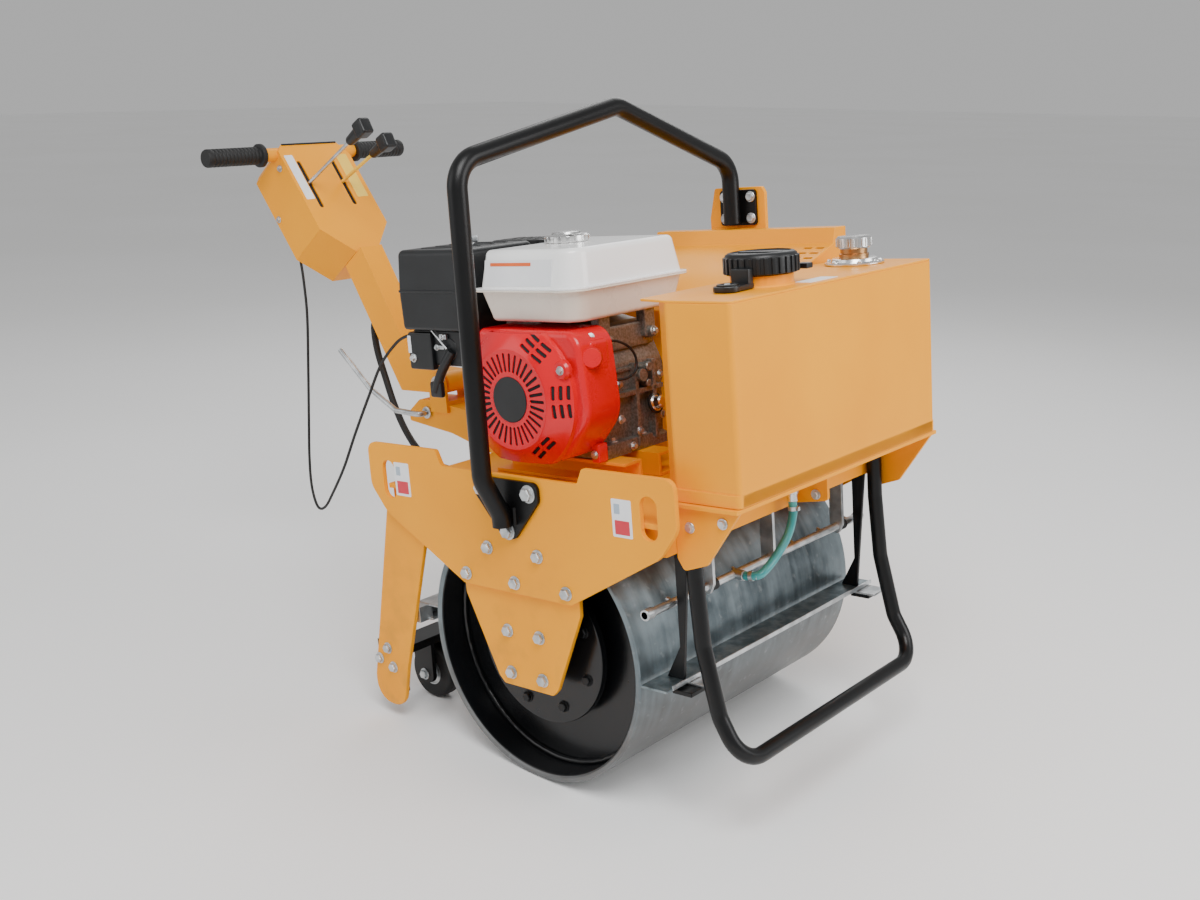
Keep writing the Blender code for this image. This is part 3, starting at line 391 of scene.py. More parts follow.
def paint(light, dark, rough=0.30, floor_darkening=0.0):
    """Sprayed paint: slow shifts of tone, a little orange peel, and patchy darker brown towards the floor."""
    def recipe(place):
        colour = tint(between(grain(place, 4.0), 0.35, 0.65), dark, light)
        if floor_darkening:
            # patchy darker brown towards the floor
            low = between(height_of(place), 0.42, 0.02) * between(grain(place, 22.0, 5.0), 0.50, 0.72) * floor_darkening
            colour = tint(low, colour, (0.16, 0.10, 0.05))
        smudge = grain(place, 18.0, 4.0)
        return {"Base Color": colour, "Roughness": smudge * 0.16 + (rough - 0.08),
                "Normal": bumps(grain(place, 520.0, 1.0), 0.05)}
    return recipe


def metal(light, dark, rough, scale=60.0, bump=0.1):
    def recipe(place):
        streak = grain(place, scale, 4.0)
        return {"Base Color": tint(between(streak, 0.35, 0.65), dark, light),
                "Roughness": streak * 0.25 + (rough - 0.12), "Normal": bumps(streak, bump)}
    return recipe


def rolled_steel(place):
    """The drum's face: rubbed along its travel, mottled and blue, brown low down and on top."""
    rub = grain(place, 1.0, 5.0, (6.0, 60.0, 6.0))
    mottle = grain(place, 34.0, 6.0)
    patch = between(grain(place, 8.0, 6.0), 0.45, 0.64)
    height = height_of(place)
    worn = rub * 0.55 + mottle * 0.45
    base = tint(between(worn, 0.36, 0.64), (0.070, 0.092, 0.104), (0.205, 0.250, 0.272))
    base = tint(patch * 0.40, base, (0.300, 0.350, 0.370))
    low = between(height, 0.235, 0.120) * 0.60
    base = tint(low, base, (0.170, 0.150, 0.138))
    scuff = between(grain(place, 70.0, 4.0), 0.62, 0.74) * 0.35
    base = tint(scuff, base, (0.420, 0.440, 0.440))
    stain = between(height, 0.330, 0.405) * between(grain(place, 14.0, 5.0), 0.46, 0.60)
    base = tint(stain * 0.60, base, (0.150, 0.085, 0.045))
    rough = worn * 0.30 + patch * 0.14 + 0.20
    return {"Base Color": base, "Roughness": rough, "Normal": bumps(worn, 0.10)}


def moulded(light, dark, rough, scale=900.0, bump=0.12):
    def recipe(place):
        return {"Base Color": tint(between(grain(place, 12.0), 0.4, 0.6), dark, light),
                "Roughness": grain(place, 30.0) * 0.14 + (rough - 0.07),
                "Normal": bumps(grain(place, scale, 2.0), bump)}
    return recipe


YELLOW = paint((1.0, 0.390, 0.0), (0.94, 0.350, 0.0), 0.40, 0.30)
FINISHES = {
    "yellow": (material("yellow_paint", YELLOW, Specular_IOR_Level=0.20), "yellow_paint"),
    "black": (material("black_paint", paint((0.0050, 0.0052, 0.0056), (0.0025, 0.0025, 0.0028), 0.34),
                       Specular_IOR_Level=0.30), "black_paint"),
    "liner": (material("drum_liner", paint((0.0050, 0.0056, 0.0066), (0.0022, 0.0023, 0.0027), 0.24),
                       Specular_IOR_Level=0.45),
              "black_paint"),
    "steel": (material("rolled_steel", rolled_steel, Metallic=0.85), "drum_steel"),
    "zinc": (material("zinc_plate", metal((0.66, 0.68, 0.69), (0.42, 0.44, 0.45), 0.34, 45.0), Metallic=0.9),
             "zinc_plate"),
    "blade": (material("blade_steel", metal((0.26, 0.31, 0.33), (0.11, 0.14, 0.15), 0.36, 55.0),
                       Metallic=0.85),
              "zinc_plate"),
    "alloy": (material("engine_alloy", metal((0.30, 0.29, 0.265), (0.17, 0.16, 0.142), 0.46, 260.0,
                                             bump=0.22),
                       Metallic=0.75), "engine_alloy"),
    "red": (material("red_enamel", paint((0.78, 0.0, 0.012), (0.70, 0.0, 0.010), 0.26), Coat_Weight=0.25,
                     Coat_Roughness=0.10, Specular_IOR_Level=0.35), "red_enamel"),
    "white": (material("white_enamel", paint((0.97, 0.97, 0.96), (0.95, 0.94, 0.93), 0.24), Coat_Weight=0.4),
              "white_enamel"),
    # painted shade: the white enamel made darker and warmer, for the fuel tank's lower half
    "white_in_shade": (material("white_enamel_painted_shade", paint((0.84, 0.78, 0.68), (0.78, 0.71, 0.60), 0.28), Coat_Weight=0.3),
              "white_enamel"),
    "plastic": (material("black_plastic", moulded((0.0075, 0.0088, 0.0102), (0.0040, 0.0045, 0.0052), 0.40)),
                "black_plastic"),
    "rubber": (material("black_rubber", moulded((0.0080, 0.0080, 0.0082), (0.0040, 0.0040, 0.0042), 0.60,
                                                600.0, 0.3)),
               "black_rubber"),
    "teal": (material("teal_hose", moulded((0.06, 0.42, 0.42), (0.02, 0.26, 0.28), 0.30, 200.0),
                      Coat_Weight=0.3),
             "teal_hose"),
    "chrome": (material("chrome", metal((0.88, 0.88, 0.87), (0.70, 0.70, 0.70), 0.22, 30.0, bump=0.03),
                        Metallic=1.0), "chrome"),
    "brass": (material("brass", metal((0.62, 0.36, 0.16), (0.40, 0.21, 0.09), 0.32, 40.0), Metallic=1.0),
              "chrome"),
    "label": (material("label_white", moulded((0.90, 0.91, 0.92), (0.84, 0.85, 0.87), 0.40)), "white_enamel"),
    "label_red": (material("label_red", moulded((0.72, 0.03, 0.06), (0.60, 0.02, 0.04), 0.40)), "red_enamel"),
    "label_orange": (material("label_orange", moulded((0.90, 0.15, 0.01), (0.80, 0.12, 0.01), 0.40)),
                     "red_enamel"),
    "label_grey": (material("label_grey", moulded((0.42, 0.50, 0.58), (0.34, 0.42, 0.50), 0.45)),
                   "white_enamel"),
    "label_yellow": (material("label_yellow", moulded((0.98, 0.66, 0.08), (0.92, 0.58, 0.05), 0.40)),
                     "yellow_paint"),
    # painted shade: the dark finish of sheets that stand for shade inside openings
    "shadow": (material("painted_shade_inside", moulded((0.010, 0.010, 0.010), (0.005, 0.005, 0.005), 0.80)),
               "black_plastic"),
}


# ---------------------------------------------------------------- camera, light and floor
def make_stage():
    lens = bpy.data.cameras.new("view")
    lens.lens = 40.07
    lens.sensor_width = 36.0
    lens.shift_x = 0.0015
    lens.shift_y = 0.0089
    camera = bpy.data.objects.new("view", lens)
    camera.location = (1.57165, -1.60406, 1.05771)
    camera.rotation_euler = (math.radians(73.596), 0.0, math.radians(41.195))
    bpy.context.scene.collection.objects.link(camera)
    bpy.context.scene.camera = camera

    world = bpy.data.worlds.new("studio")
    world.use_nodes = True
    world.node_tree.nodes["Background"].inputs["Color"].default_value = (1.0, 1.0, 1.0, 1.0)
    world.node_tree.nodes["Background"].inputs["Strength"].default_value = 0.50
    bpy.context.scene.world = world

    lamps = (("key", (1.6, -1.4, 3.0), 1.6, 90.0), ("side", (2.6, 0.9, 1.5), 1.4, 32.0),
             ("fill", (-1.6, -2.6, 1.7), 2.2, 22.0), ("back", (-1.2, 2.4, 2.6), 2.0, 34.0))
    for name, place, size, power in lamps:
        light = bpy.data.lights.new(name, "AREA")
        light.size = size
        light.energy = power
        lamp = bpy.data.objects.new(name, light)
        lamp.location = place
        lamp.rotation_euler = (Vector((0.0, 0.0, 0.40)) - Vector(place)).to_track_quat("-Z", "Y").to_euler()
        bpy.context.scene.collection.objects.link(lamp)

    shape = bmesh.new()
    bmesh.ops.create_grid(shape, x_segments=2, y_segments=2, size=30.0)
    mesh = bpy.data.meshes.new("floor")
    shape.to_mesh(mesh)
    shape.free()
    floor = bpy.data.objects.new("floor", mesh)
    floor.location = (0.0, 0.0, -0.0005)
    bpy.context.scene.collection.objects.link(floor)

    def pale(place):
        return {"Base Color": tint(between(grain(place, 0.6), 0.4, 0.6), (0.93, 0.93, 0.925),
                                   (0.95, 0.95, 0.95))}

    mesh.materials.append(material("pale_floor", pale, Roughness=0.9))


# ---------------------------------------------------------------- free cords
THROTTLE_CABLE = [
    (-0.748, -0.0700, 0.5690), (-0.744, -0.0715, 0.5300), (-0.743, -0.0740, 0.4650),
    (-0.752, -0.0790, 0.3700), (-0.762, -0.0850, 0.2700), (-0.766, -0.0930, 0.1850),
    (-0.758, -0.1010, 0.1300), (-0.735, -0.1090, 0.0960), (-0.700, -0.1170, 0.1020),
    (-0.655, -0.1260, 0.1400), (-0.600, -0.1360, 0.1950), (-0.540, -0.1480, 0.2650),
    (-0.470, -0.1620, 0.3420), (-0.410, -0.1760, 0.4020), (-0.350, -0.1880, 0.4420),
    (-0.312, -0.1950, 0.4560), (-0.2865, -0.1980, 0.4580),
]
CONTROL_HOSE = [
    (-0.6275, 0.0, 0.4550), (-0.6380, 0.0, 0.4330), (-0.6330, -0.002, 0.3900), (-0.6130, -0.006, 0.3400),
    (-0.5880, -0.012, 0.2900), (-0.5540, -0.020, 0.2450), (-0.5100, -0.030, 0.2120),
    (-0.4600, -0.040, 0.1950), (-0.4000, -0.048, 0.1890), (-0.3500, -0.052, 0.1930),
    (-0.3100, -0.054, 0.1970), (-0.2806, -0.054, 0.1972),
]


def make_cords():
    cords = (("throttle_cable", THROTTLE_CABLE, 160, 0.0026, "limp", -0.735, -0.330),
             ("control_hose", CONTROL_HOSE, 90, 0.0065, "medium", -0.610, -0.300))
    for node, route, count, radius, stiffness, leaves, holds in cords:
        points = flowing(route, count)
        path = [MACHINE @ point for point in points]
        length = sum((b - a).length for a, b in zip(path, path[1:]))
        cord = piece(node + "_run", tube(points, radius), "rubber", stands_for=(node,), weighted=False,
                     loose=True)
        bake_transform(cord)


# ---------------------------------------------------------------- drum and rear wheels
def make_drum():
    radius, wall, half, web = AXLE.z, 0.010, 0.2785, 0.226
    edge = 0.0025
    profile = [(radius - edge, half), (radius, half - edge), (radius, edge - half), (radius - edge, -half),
               (radius - wall + edge, -half), (radius - wall, edge - half), (radius - wall, half - edge),
               (radius - wall + edge, half)]
    piece("drum_skin", turned(profile, (0, 0, 0), FAR, 192, ring=True), "steel", "drum", ("drum_shell",))
    for word, side in (("right", -1), ("left", 1)):
        out = (0, side, 0)
        inner = radius - wall
        liner = [(inner - 0.0012, web + 0.0002), (inner - 0.0012, half - 0.004),
                 (inner - 0.0002, half - 0.003), (inner - 0.0002, web + 0.0002)]
        flange = 0.260
        profile = [(0.0256, web), (0.0256, flange), (0.046, flange), (0.047, flange - 0.002),
                   (0.121, flange - 0.002), (0.1236, flange - 0.003), (0.1245, flange - 0.005),
                   (0.1245, 0.2475), (0.1225, 0.246), (0.088, 0.246), (0.090, 0.236), (0.098, web + 0.001),
                   (inner - 0.0015, web), (inner - 0.0015, web - 0.010), (0.0256, web - 0.010)]
        web_disc = turned(profile, (0, 0, 0), out, 128, ring=True)
        bead = turned([(inner - 0.0045 + 0.0048 * math.cos(k * math.pi / 4),
                        web + 0.0030 + 0.0048 * math.sin(k * math.pi / 4)) for k in range(8)],
                      (0, 0, 0), out, 240, ring=True)
        for vertex in bead.verts:
            flat = Vector((vertex.co.x, 0.0, vertex.co.z))
            lump = noise.noise(vertex.co * 140.0) * 0.0011 + noise.noise(vertex.co * 30.0) * 0.0006
            vertex.co -= flat.normalized() * max(lump, -0.0006)
            vertex.co.y += side * lump * 0.8
        piece("drum_web_" + word, merge(web_disc, turned(liner, (0, 0, 0), out, 192, ring=True)), "liner",
              "drum", ("drum_end_" + word,))
        piece("drum_weld_" + word, bead, "liner", "drum", angle=80, weighted=False)
        heads = []
        for k in range(8):
            turn = math.radians(22.5 + 45 * k)
            heads.append(bolt((0.099 * math.cos(turn), side * (flange - 0.002), 0.099 * math.sin(turn)), out,
                              0.0078, 0.0060, 0.0095))
        piece("hub_bolts_" + word, merge(*heads), "black", "drum")
        axle = [(0.0, 0.2835), (0.048, 0.2835), (0.048, 0.268), (0.046, 0.2658), (0.0252, 0.2658),
                (0.0252, 0.2302), (0.0, 0.2302)]
        piece("axle_stub_" + word, turned(axle, (0, 0, 0), out, 64), "zinc", "chassis", ("axle_" + word,))


def make_wheels():
    for word, side in (("right", -1), ("left", 1)):
        node = "rear_wheel_" + word
        centre = LEVEL @ Vector(JOINTS[node + "_roll"]["pos_m"])
        radius = JOINTS[node + "_roll"]["pos_m"][2]
        tyre = [(0.024, -0.0155), (0.041, -0.0160), (radius - 0.003, -0.0148), (radius - 0.0006, -0.0120),
                (radius, -0.0070), (radius - 0.0009, -0.0060), (radius - 0.0009, -0.0045), (radius, -0.0035),
                (radius, 0.0035), (radius - 0.0009, 0.0045), (radius - 0.0009, 0.0060), (radius, 0.0070),
                (radius - 0.0006, 0.0120), (radius - 0.003, 0.0148), (0.041, 0.0160), (0.024, 0.0155)]
        piece("wheel_tyre_" + word, turned(tyre, centre, FAR, 72, ring=True), "rubber", node, (node,))
        core = [(0.0085, -0.0160), (0.012, -0.0160), (0.0125, -0.0125), (0.021, -0.0120), (0.022, -0.0150),
                (0.0242, -0.0150), (0.0242, 0.0150), (0.022, 0.0150), (0.021, 0.0120), (0.0125, 0.0125),
                (0.012, 0.0160), (0.0085, 0.0160)]
        piece("wheel_core_" + word, turned(core, centre, FAR, 40, ring=True), "zinc", node)
        piece("wheel_fork_" + word, softened("wheel_bracket_" + word, 0.0010), "black", "chassis",
              ("wheel_bracket_" + word,))
        nuts = [bolt((centre.x, centre.y + way * 0.0292, centre.z), (0, way, 0), 0.0078, 0.0070, 0.0105)
                for way in (-1, 1)]
        piece("wheel_nuts_" + word, merge(*nuts), "zinc")


# ---------------------------------------------------------------- frame
SIDE_FACE = 0.3000
BRACKET_FACE = 0.2917


def make_frame():
    plain = (("side_plate_right", 0.0013), ("side_plate_left", 0.0013), ("axle_bracket_right", 0.0013),
             ("axle_bracket_left", 0.0013), ("rear_leg_right", 0.0013), ("rear_leg_left", 0.0013),
             ("deck", 0.0010), ("engine_rail_right", 0.0008), ("engine_rail_left", 0.0008),
             ("tank_shelf", 0.0010), ("hoop_upright", 0.0012), ("drive_cover", 0.0050),
             ("handle_mount", 0.0012))
    for node, width in plain:
        piece(node + "_look", softened(node, width), "yellow", "chassis", (node,))
    piece("rear_scraper_look", softened("rear_scraper", 0.0005), "zinc", "chassis", ("rear_scraper",))
    piece("front_blade", block((0.2186, -0.284, -0.0130), (0.2640, 0.2715, -0.0092), 0.0005), "blade",
          "chassis", ("front_scraper",))
    lip = [block((0.2630, -0.270, -0.0128), (0.2655, 0.2690, -0.0060), 0.0006),
           block((0.2600, -0.232, -0.0170), (0.2960, -0.208, -0.0135), 0.0008),
           block((0.2560, 0.222, -0.0170), (0.2980, 0.262, -0.0135), 0.0008)]
    piece("front_blade_lip", merge(*lip), "zinc")
    pads = [block((0.2520, side * 0.240 - 0.016, -0.0240), (0.2860, side * 0.240 + 0.016, -0.0172), 0.0012)
            for side in (-1, 1)]
    piece("front_blade_pads", merge(*pads), "black")
    for node in ("front_scraper_arm_right", "front_scraper_arm_left"):
        piece(node + "_look", softened(node, 0.0008), "black", "chassis", (node,))

    heads = []
    for side in (-1, 1):
        out = (0, side, 0)
        for x, z in ((-0.104, 0.112), (0.0, 0.112), (0.104, 0.112), (-0.052, 0.160), (0.052, 0.160)):
            if side < 0 or abs(x) > 0.09:
                heads.append(bolt((x, side * SIDE_FACE, z), out))
        for x, z in ((-0.033, 0.029), (0.033, 0.029), (-0.033, -0.0385), (0.033, -0.0385)):
            if side < 0:
                heads.append(bolt((x, side * BRACKET_FACE, z), out))
        for x, z in ((-0.330, -0.057), (-0.354, -0.079), (-0.320, -0.089)):
            heads.append(bolt((x, side * BRACKET_FACE, z), out, 0.0078, 0.0070, 0.0098))
    for x, z in ((0.305, 0.226), (0.360, 0.238)):
        heads.append(bolt((x, -0.2605, z), NEAR, 0.0060, 0.0055, 0.0080))
    for z in (0.208, 0.236):
        heads.append(bolt((0.325, 0.018, z), NEAR, 0.0060, 0.0055, 0.0080))
    piece("frame_bolts", merge(*heads), "zinc")

    for word, x, z in (("rear", -0.2345, 0.246), ("front", 0.2200, 0.238)):
        face = -SIDE_FACE
        card = plate(oblong((x - 0.0175, z - 0.027), (x + 0.0175, z + 0.027), 0.002), face - 0.0004, face)
        piece("lift_label_" + word, card, "label")
        band = plate(oblong((x - 0.013, z - 0.023), (x + 0.013, z - 0.003), 0.001), face - 0.0007,
                     face - 0.0004)
        piece("lift_label_%s_band" % word, band, "label_red")
        tab = plate(oblong((x - 0.013, z + 0.006), (x - 0.003, z + 0.020), 0.001), face - 0.0007,
                    face - 0.0004)
        piece("lift_label_%s_tab" % word, tab, "label_grey")
    slip = block((-0.155, -0.262, 0.2342), (-0.075, -0.200, 0.2372), 0.0006)
    piece("deck_strap", slip, "zinc")


# ---------------------------------------------------------------- lifting hoop and stand
def make_hoop():
    radius, x, out = 0.0145, 0.005, -0.3402
    foot_y = -SIDE_FACE - 0.0003
    tube_y = foot_y - 0.005 - radius
    far = SIDE_FACE - 0.005 - radius
    route = [(x, tube_y, 0.205), (x, tube_y, 0.222), (x - 0.012, out, 0.278), (x - 0.005, out, 0.724),
             (x, 0.0, 0.7925), (x + 0.004, far, 0.690), (x + 0.004, far, 0.590)]
    outline = rounded([(-0.062, 0.272, 0.012), (0.068, 0.272, 0.012), (0.068, 0.244, 0.010),
                       (0.014, 0.182, 0.012), (-0.010, 0.182, 0.012), (-0.062, 0.244, 0.010)])
    foot = plate(outline, foot_y - 0.006, foot_y, soft=0.0010)
    far_plate = plate(oblong((-0.025, 0.586), (0.049, 0.646), 0.006), SIDE_FACE - 0.006, SIDE_FACE,
                      soft=0.0008)
    welds = [tube([(x + way * radius, tube_y + 0.012, 0.206), (x + way * radius, tube_y + 0.013, 0.232)],
                  0.0030, 2)
             for way in (-1, 1)]
    piece("hoop_tube", tube(bent(route, 0.045), radius, 9), "black", "chassis", ("lifting_hoop",),
          weighted=False)
    piece("hoop_feet", merge(foot, far_plate, *welds), "black")
    heads = [bolt((bx, foot_y - 0.006, bz), NEAR, 0.0105, 0.0090, 0.0135)
             for bx, bz in ((-0.046, 0.255), (0.050, 0.255), (0.002, 0.194))]
    heads += [bolt((bx, SIDE_FACE - 0.006, bz), NEAR, 0.0070, 0.0060, 0.0092)
              for bx in (-0.015, 0.039) for bz in (0.598, 0.634)]
    piece("hoop_bolts", merge(*heads), "zinc")

    leg = [(0.2935, 0.2475), (0.2935, 0.150), (0.300, 0.050), (0.322, -0.050), (0.357, -0.114)]
    points = [(px, -0.241, pz) for px, pz in leg] + [(px, 0.241, pz) for px, pz in reversed(leg)]
    stand = tube(bent(points, 0.045), 0.0118, 7)
    piece("stand_tube", stand, "black", "chassis", ("front_stand",), weighted=False)


# ---------------------------------------------------------------- water tank
TANK_TOP = 0.530
FILLER = (0.318, -0.085)
VENT = (0.303, 0.184)


def make_water_tank():
    front, shoulder, rear, wide, narrow, low = 0.391, 0.2855, 0.232, 0.2615, 0.235, 0.2606

    def plan(grow, lip, inset):
        corners = [(front, -wide - grow, 0.007), (front, wide + grow, 0.007), (shoulder, wide + grow, 0.012),
                   (rear + inset, narrow + lip, 0.008), (rear + inset, -narrow - lip, 0.008),
                   (shoulder, -wide - grow, 0.012)]
        return rounded(corners, 8)

    body = plate(plan(0.0, -0.0130, 0.0125), low, TANK_TOP - 0.0030, "XY", 0.0016, 3)
    lid = plate(plan(0.0, 0.0135, 0.0), TANK_TOP - 0.0032, TANK_TOP, "XY", 0.0009, 2)
    band = plate(plan(0.0022, -0.0105, 0.0110), low + 0.0004, low + 0.0185, "XY", 0.0012, 2)
    neck = turned([(0.0405, 0.0), (0.0465, 0.0), (0.044, 0.003), (0.044, 0.0155), (0.0405, 0.0155)],
                  (*FILLER, TANK_TOP - 0.0005), TOP, 56, ring=True)
    well = turned([(0.0, 0.0), (0.0405, 0.0), (0.0405, 0.001), (0.0, 0.001)], (*FILLER, TANK_TOP - 0.0002),
                  TOP, 40)
    bead = tube([(front - 0.0045, side * (wide - 0.020), low + 0.0025) for side in (-1, 1)], 0.0028, 2)
    piece("tank_body", merge(body, lid, band, neck, well, bead), "yellow", "chassis", ("water_tank",))

    cx, cy = FILLER
    base = TANK_TOP + 0.0163
    profile = [(0.0, base), (0.049, base), (0.0505, base + 0.0015), (0.0505, base + 0.0225),
               (0.0490, base + 0.0265), (0.0455, base + 0.0290), (0.0420, base + 0.0297),
               (0.0400, base + 0.0275), (0.0, base + 0.0275)]
    cap = [turned(profile, (cx, cy, 0.0), TOP, 72)]
    for k in range(30):
        rib = block((0.0485, -0.0030, base + 0.0010), (0.0528, 0.0030, base + 0.0235), 0.0012)
        cap.append(swung(rib, (cx, cy, 0.0), 12 * k))
    cap.append(block((cx - 0.034, cy - 0.006, base + 0.0265), (cx + 0.034, cy + 0.006, base + 0.0297),
                     0.0014))
    piece("filler_cap", merge(*cap), "plastic", "chassis", ("tank_cap",))
    paddle = rounded([(cx - 0.010, cy - 0.046, 0.003), (cx - 0.012, cy - 0.078, 0.010),
                      (cx - 0.018, cy - 0.104, 0.015), (cx + 0.026, cy - 0.104, 0.015),
                      (cx + 0.022, cy - 0.078, 0.010), (cx + 0.020, cy - 0.046, 0.003)])
    strap = plate(paddle, TANK_TOP + 0.0008, TANK_TOP + 0.0085, "XY", 0.0016, 2)
    dish = turned([(0.0085, 0.0), (0.0150, 0.0), (0.0150, 0.0022), (0.0135, 0.0032), (0.0098, 0.0032),
                   (0.0085, 0.0018)],
                  (cx + 0.004, cy - 0.086, TANK_TOP + 0.0078), TOP, 32, ring=True)
    riser = block((cx - 0.010, cy - 0.060, TANK_TOP + 0.004), (cx + 0.020, cy - 0.047, base + 0.012), 0.003)
    nub = block((cx + 0.030, cy + 0.040, base + 0.001), (cx + 0.048, cy + 0.056, base + 0.009), 0.002)
    piece("filler_strap", merge(strap, dish, riser, nub), "plastic")
    piece("filler_strap_bolt", bolt((cx + 0.004, cy - 0.086, TANK_TOP + 0.0080), TOP, 0.0045, 0.0038,
                                    0.0065), "zinc")
    card = plate(oblong((0.352, -0.060), (0.380, 0.012), 0.002), TANK_TOP, TANK_TOP + 0.0004, "XY")
    piece("tank_label", card, "label")

    vx, vy = VENT
    seat = (vx, vy, TANK_TOP + 0.0003)
    flange = [(0.0, 0.0), (0.0445, 0.0), (0.0455, 0.0010), (0.0455, 0.0030), (0.0440, 0.0042),
              (0.0360, 0.0048), (0.0345, 0.0090), (0.0320, 0.0100), (0.0, 0.0100)]
    knob = [(0.0, 0.0240), (0.0235, 0.0240), (0.0262, 0.0262), (0.0262, 0.0400), (0.0240, 0.0425),
            (0.0150, 0.0432), (0.0, 0.0432)]
    vent = [turned(flange, seat, TOP, 64), turned(knob, seat, TOP, 48)]
    for k in range(24):
        ridge = block((0.0255, -0.0013, TANK_TOP + 0.0270), (0.0272, 0.0013, TANK_TOP + 0.0400), 0.0005, 1)
        vent.append(swung(ridge, (vx, vy, 0.0), 15 * k))
    for k in range(6):
        turn = math.radians(60 * k + 12)
        vent.append(bolt((vx + 0.0400 * math.cos(turn), vy + 0.0400 * math.sin(turn), TANK_TOP + 0.0045), TOP,
                         0.0030, 0.0036, 0.0042))
    piece("vent_fitting", merge(*vent), "chrome", "chassis", ("tank_vent",))
    piece("vent_band", turned([(0.0, 0.0095), (0.0225, 0.0095), (0.0225, 0.0160), (0.0205, 0.0170),
                               (0.0205, 0.0245), (0.0, 0.0245)], seat, TOP, 40), "brass")


def make_sprinkler():
    x, z = 0.248, 0.104
    pipe = [rod((x, -0.300, z), (x, 0.268, z), 0.0062)]
    for y in (-0.155, -0.001, 0.196):
        outline = rounded([(0.236, 0.1857, 0.0), (0.260, 0.1857, 0.0), (0.260, 0.108, 0.008),
                           (0.252, 0.092, 0.006), (0.244, 0.092, 0.006), (0.236, 0.108, 0.008)])
        pipe.append(plate(outline, y - 0.003, y + 0.003, soft=0.0006))
    for y in (-0.292, 0.260):
        pipe.append(rod((x, y - 0.008, z), (x, y + 0.008, z), 0.0082))
    for k in range(7):
        y = -0.235 + 0.078 * k
        pipe.append(rod((x - 0.004, y, z + 0.001), (x - 0.0125, y, z + 0.004), 0.0032, 0.0005, 12))
    pipe.append(rod((0.246, -0.090, z), (0.2665, -0.090, z), 0.0078))
    piece("spray_pipe", merge(*pipe), "zinc", "chassis", ("sprinkler_pipe",))
    bands = [turned([(0.0062, -0.006), (0.0092, -0.006), (0.0092, 0.006), (0.0062, 0.006)], (x, y, z), FAR,
                    28, ring=True)
             for y in (-0.145, 0.010, 0.207)]
    piece("spray_pipe_bands", merge(*bands), "rubber")

    top = 0.2540
    valve = [rod((0.302, -0.010, 0.2220), (0.302, -0.010, top), 0.0110, steps=6),
             rod((0.302, -0.010, 0.2020), (0.302, -0.010, 0.2260), 0.0080),
             rod((0.302, -0.010, 0.2140), (0.302, -0.010, 0.2190), 0.0098, steps=28)]
    piece("tank_valve", merge(*valve), "chrome", "chassis", ("outlet_valve",))
    piece("tank_valve_handle", block((0.296, -0.034, 0.232), (0.308, -0.012, 0.240), 0.0020), "teal")
    route = [(0.302, -0.010, 0.2015), (0.302, -0.011, 0.180), (0.300, -0.024, 0.152), (0.296, -0.052, 0.126),
             (0.291, -0.080, 0.109), (0.280, -0.0885, 0.105), (0.2672, -0.090, 0.104)]
    points = flowing(route, 60)
    piece("drip_hose", tube(points, 0.0065, 6), "teal", "chassis", ("water_hose",), weighted=False)
    clips = []
    for a, b in ((points[3], points[5]), (points[-6], points[-4])):
        clips.append(turned([(0.0064, -0.003), (0.0076, -0.003), (0.0076, 0.003), (0.0064, 0.003)],
                            (a + b) / 2, b - a, 28, ring=True))
        clips.append(block((a + b) / 2 + Vector((0.0070, -0.003, -0.003)),
                           (a + b) / 2 + Vector((0.0110, 0.003, 0.003)), 0.0006))
    piece("drip_hose_clips", merge(*clips), "zinc")


# ---------------------------------------------------------------- engine
SHAFT_X, SHAFT_Z, FEET = -0.029, 0.3773, 0.2713


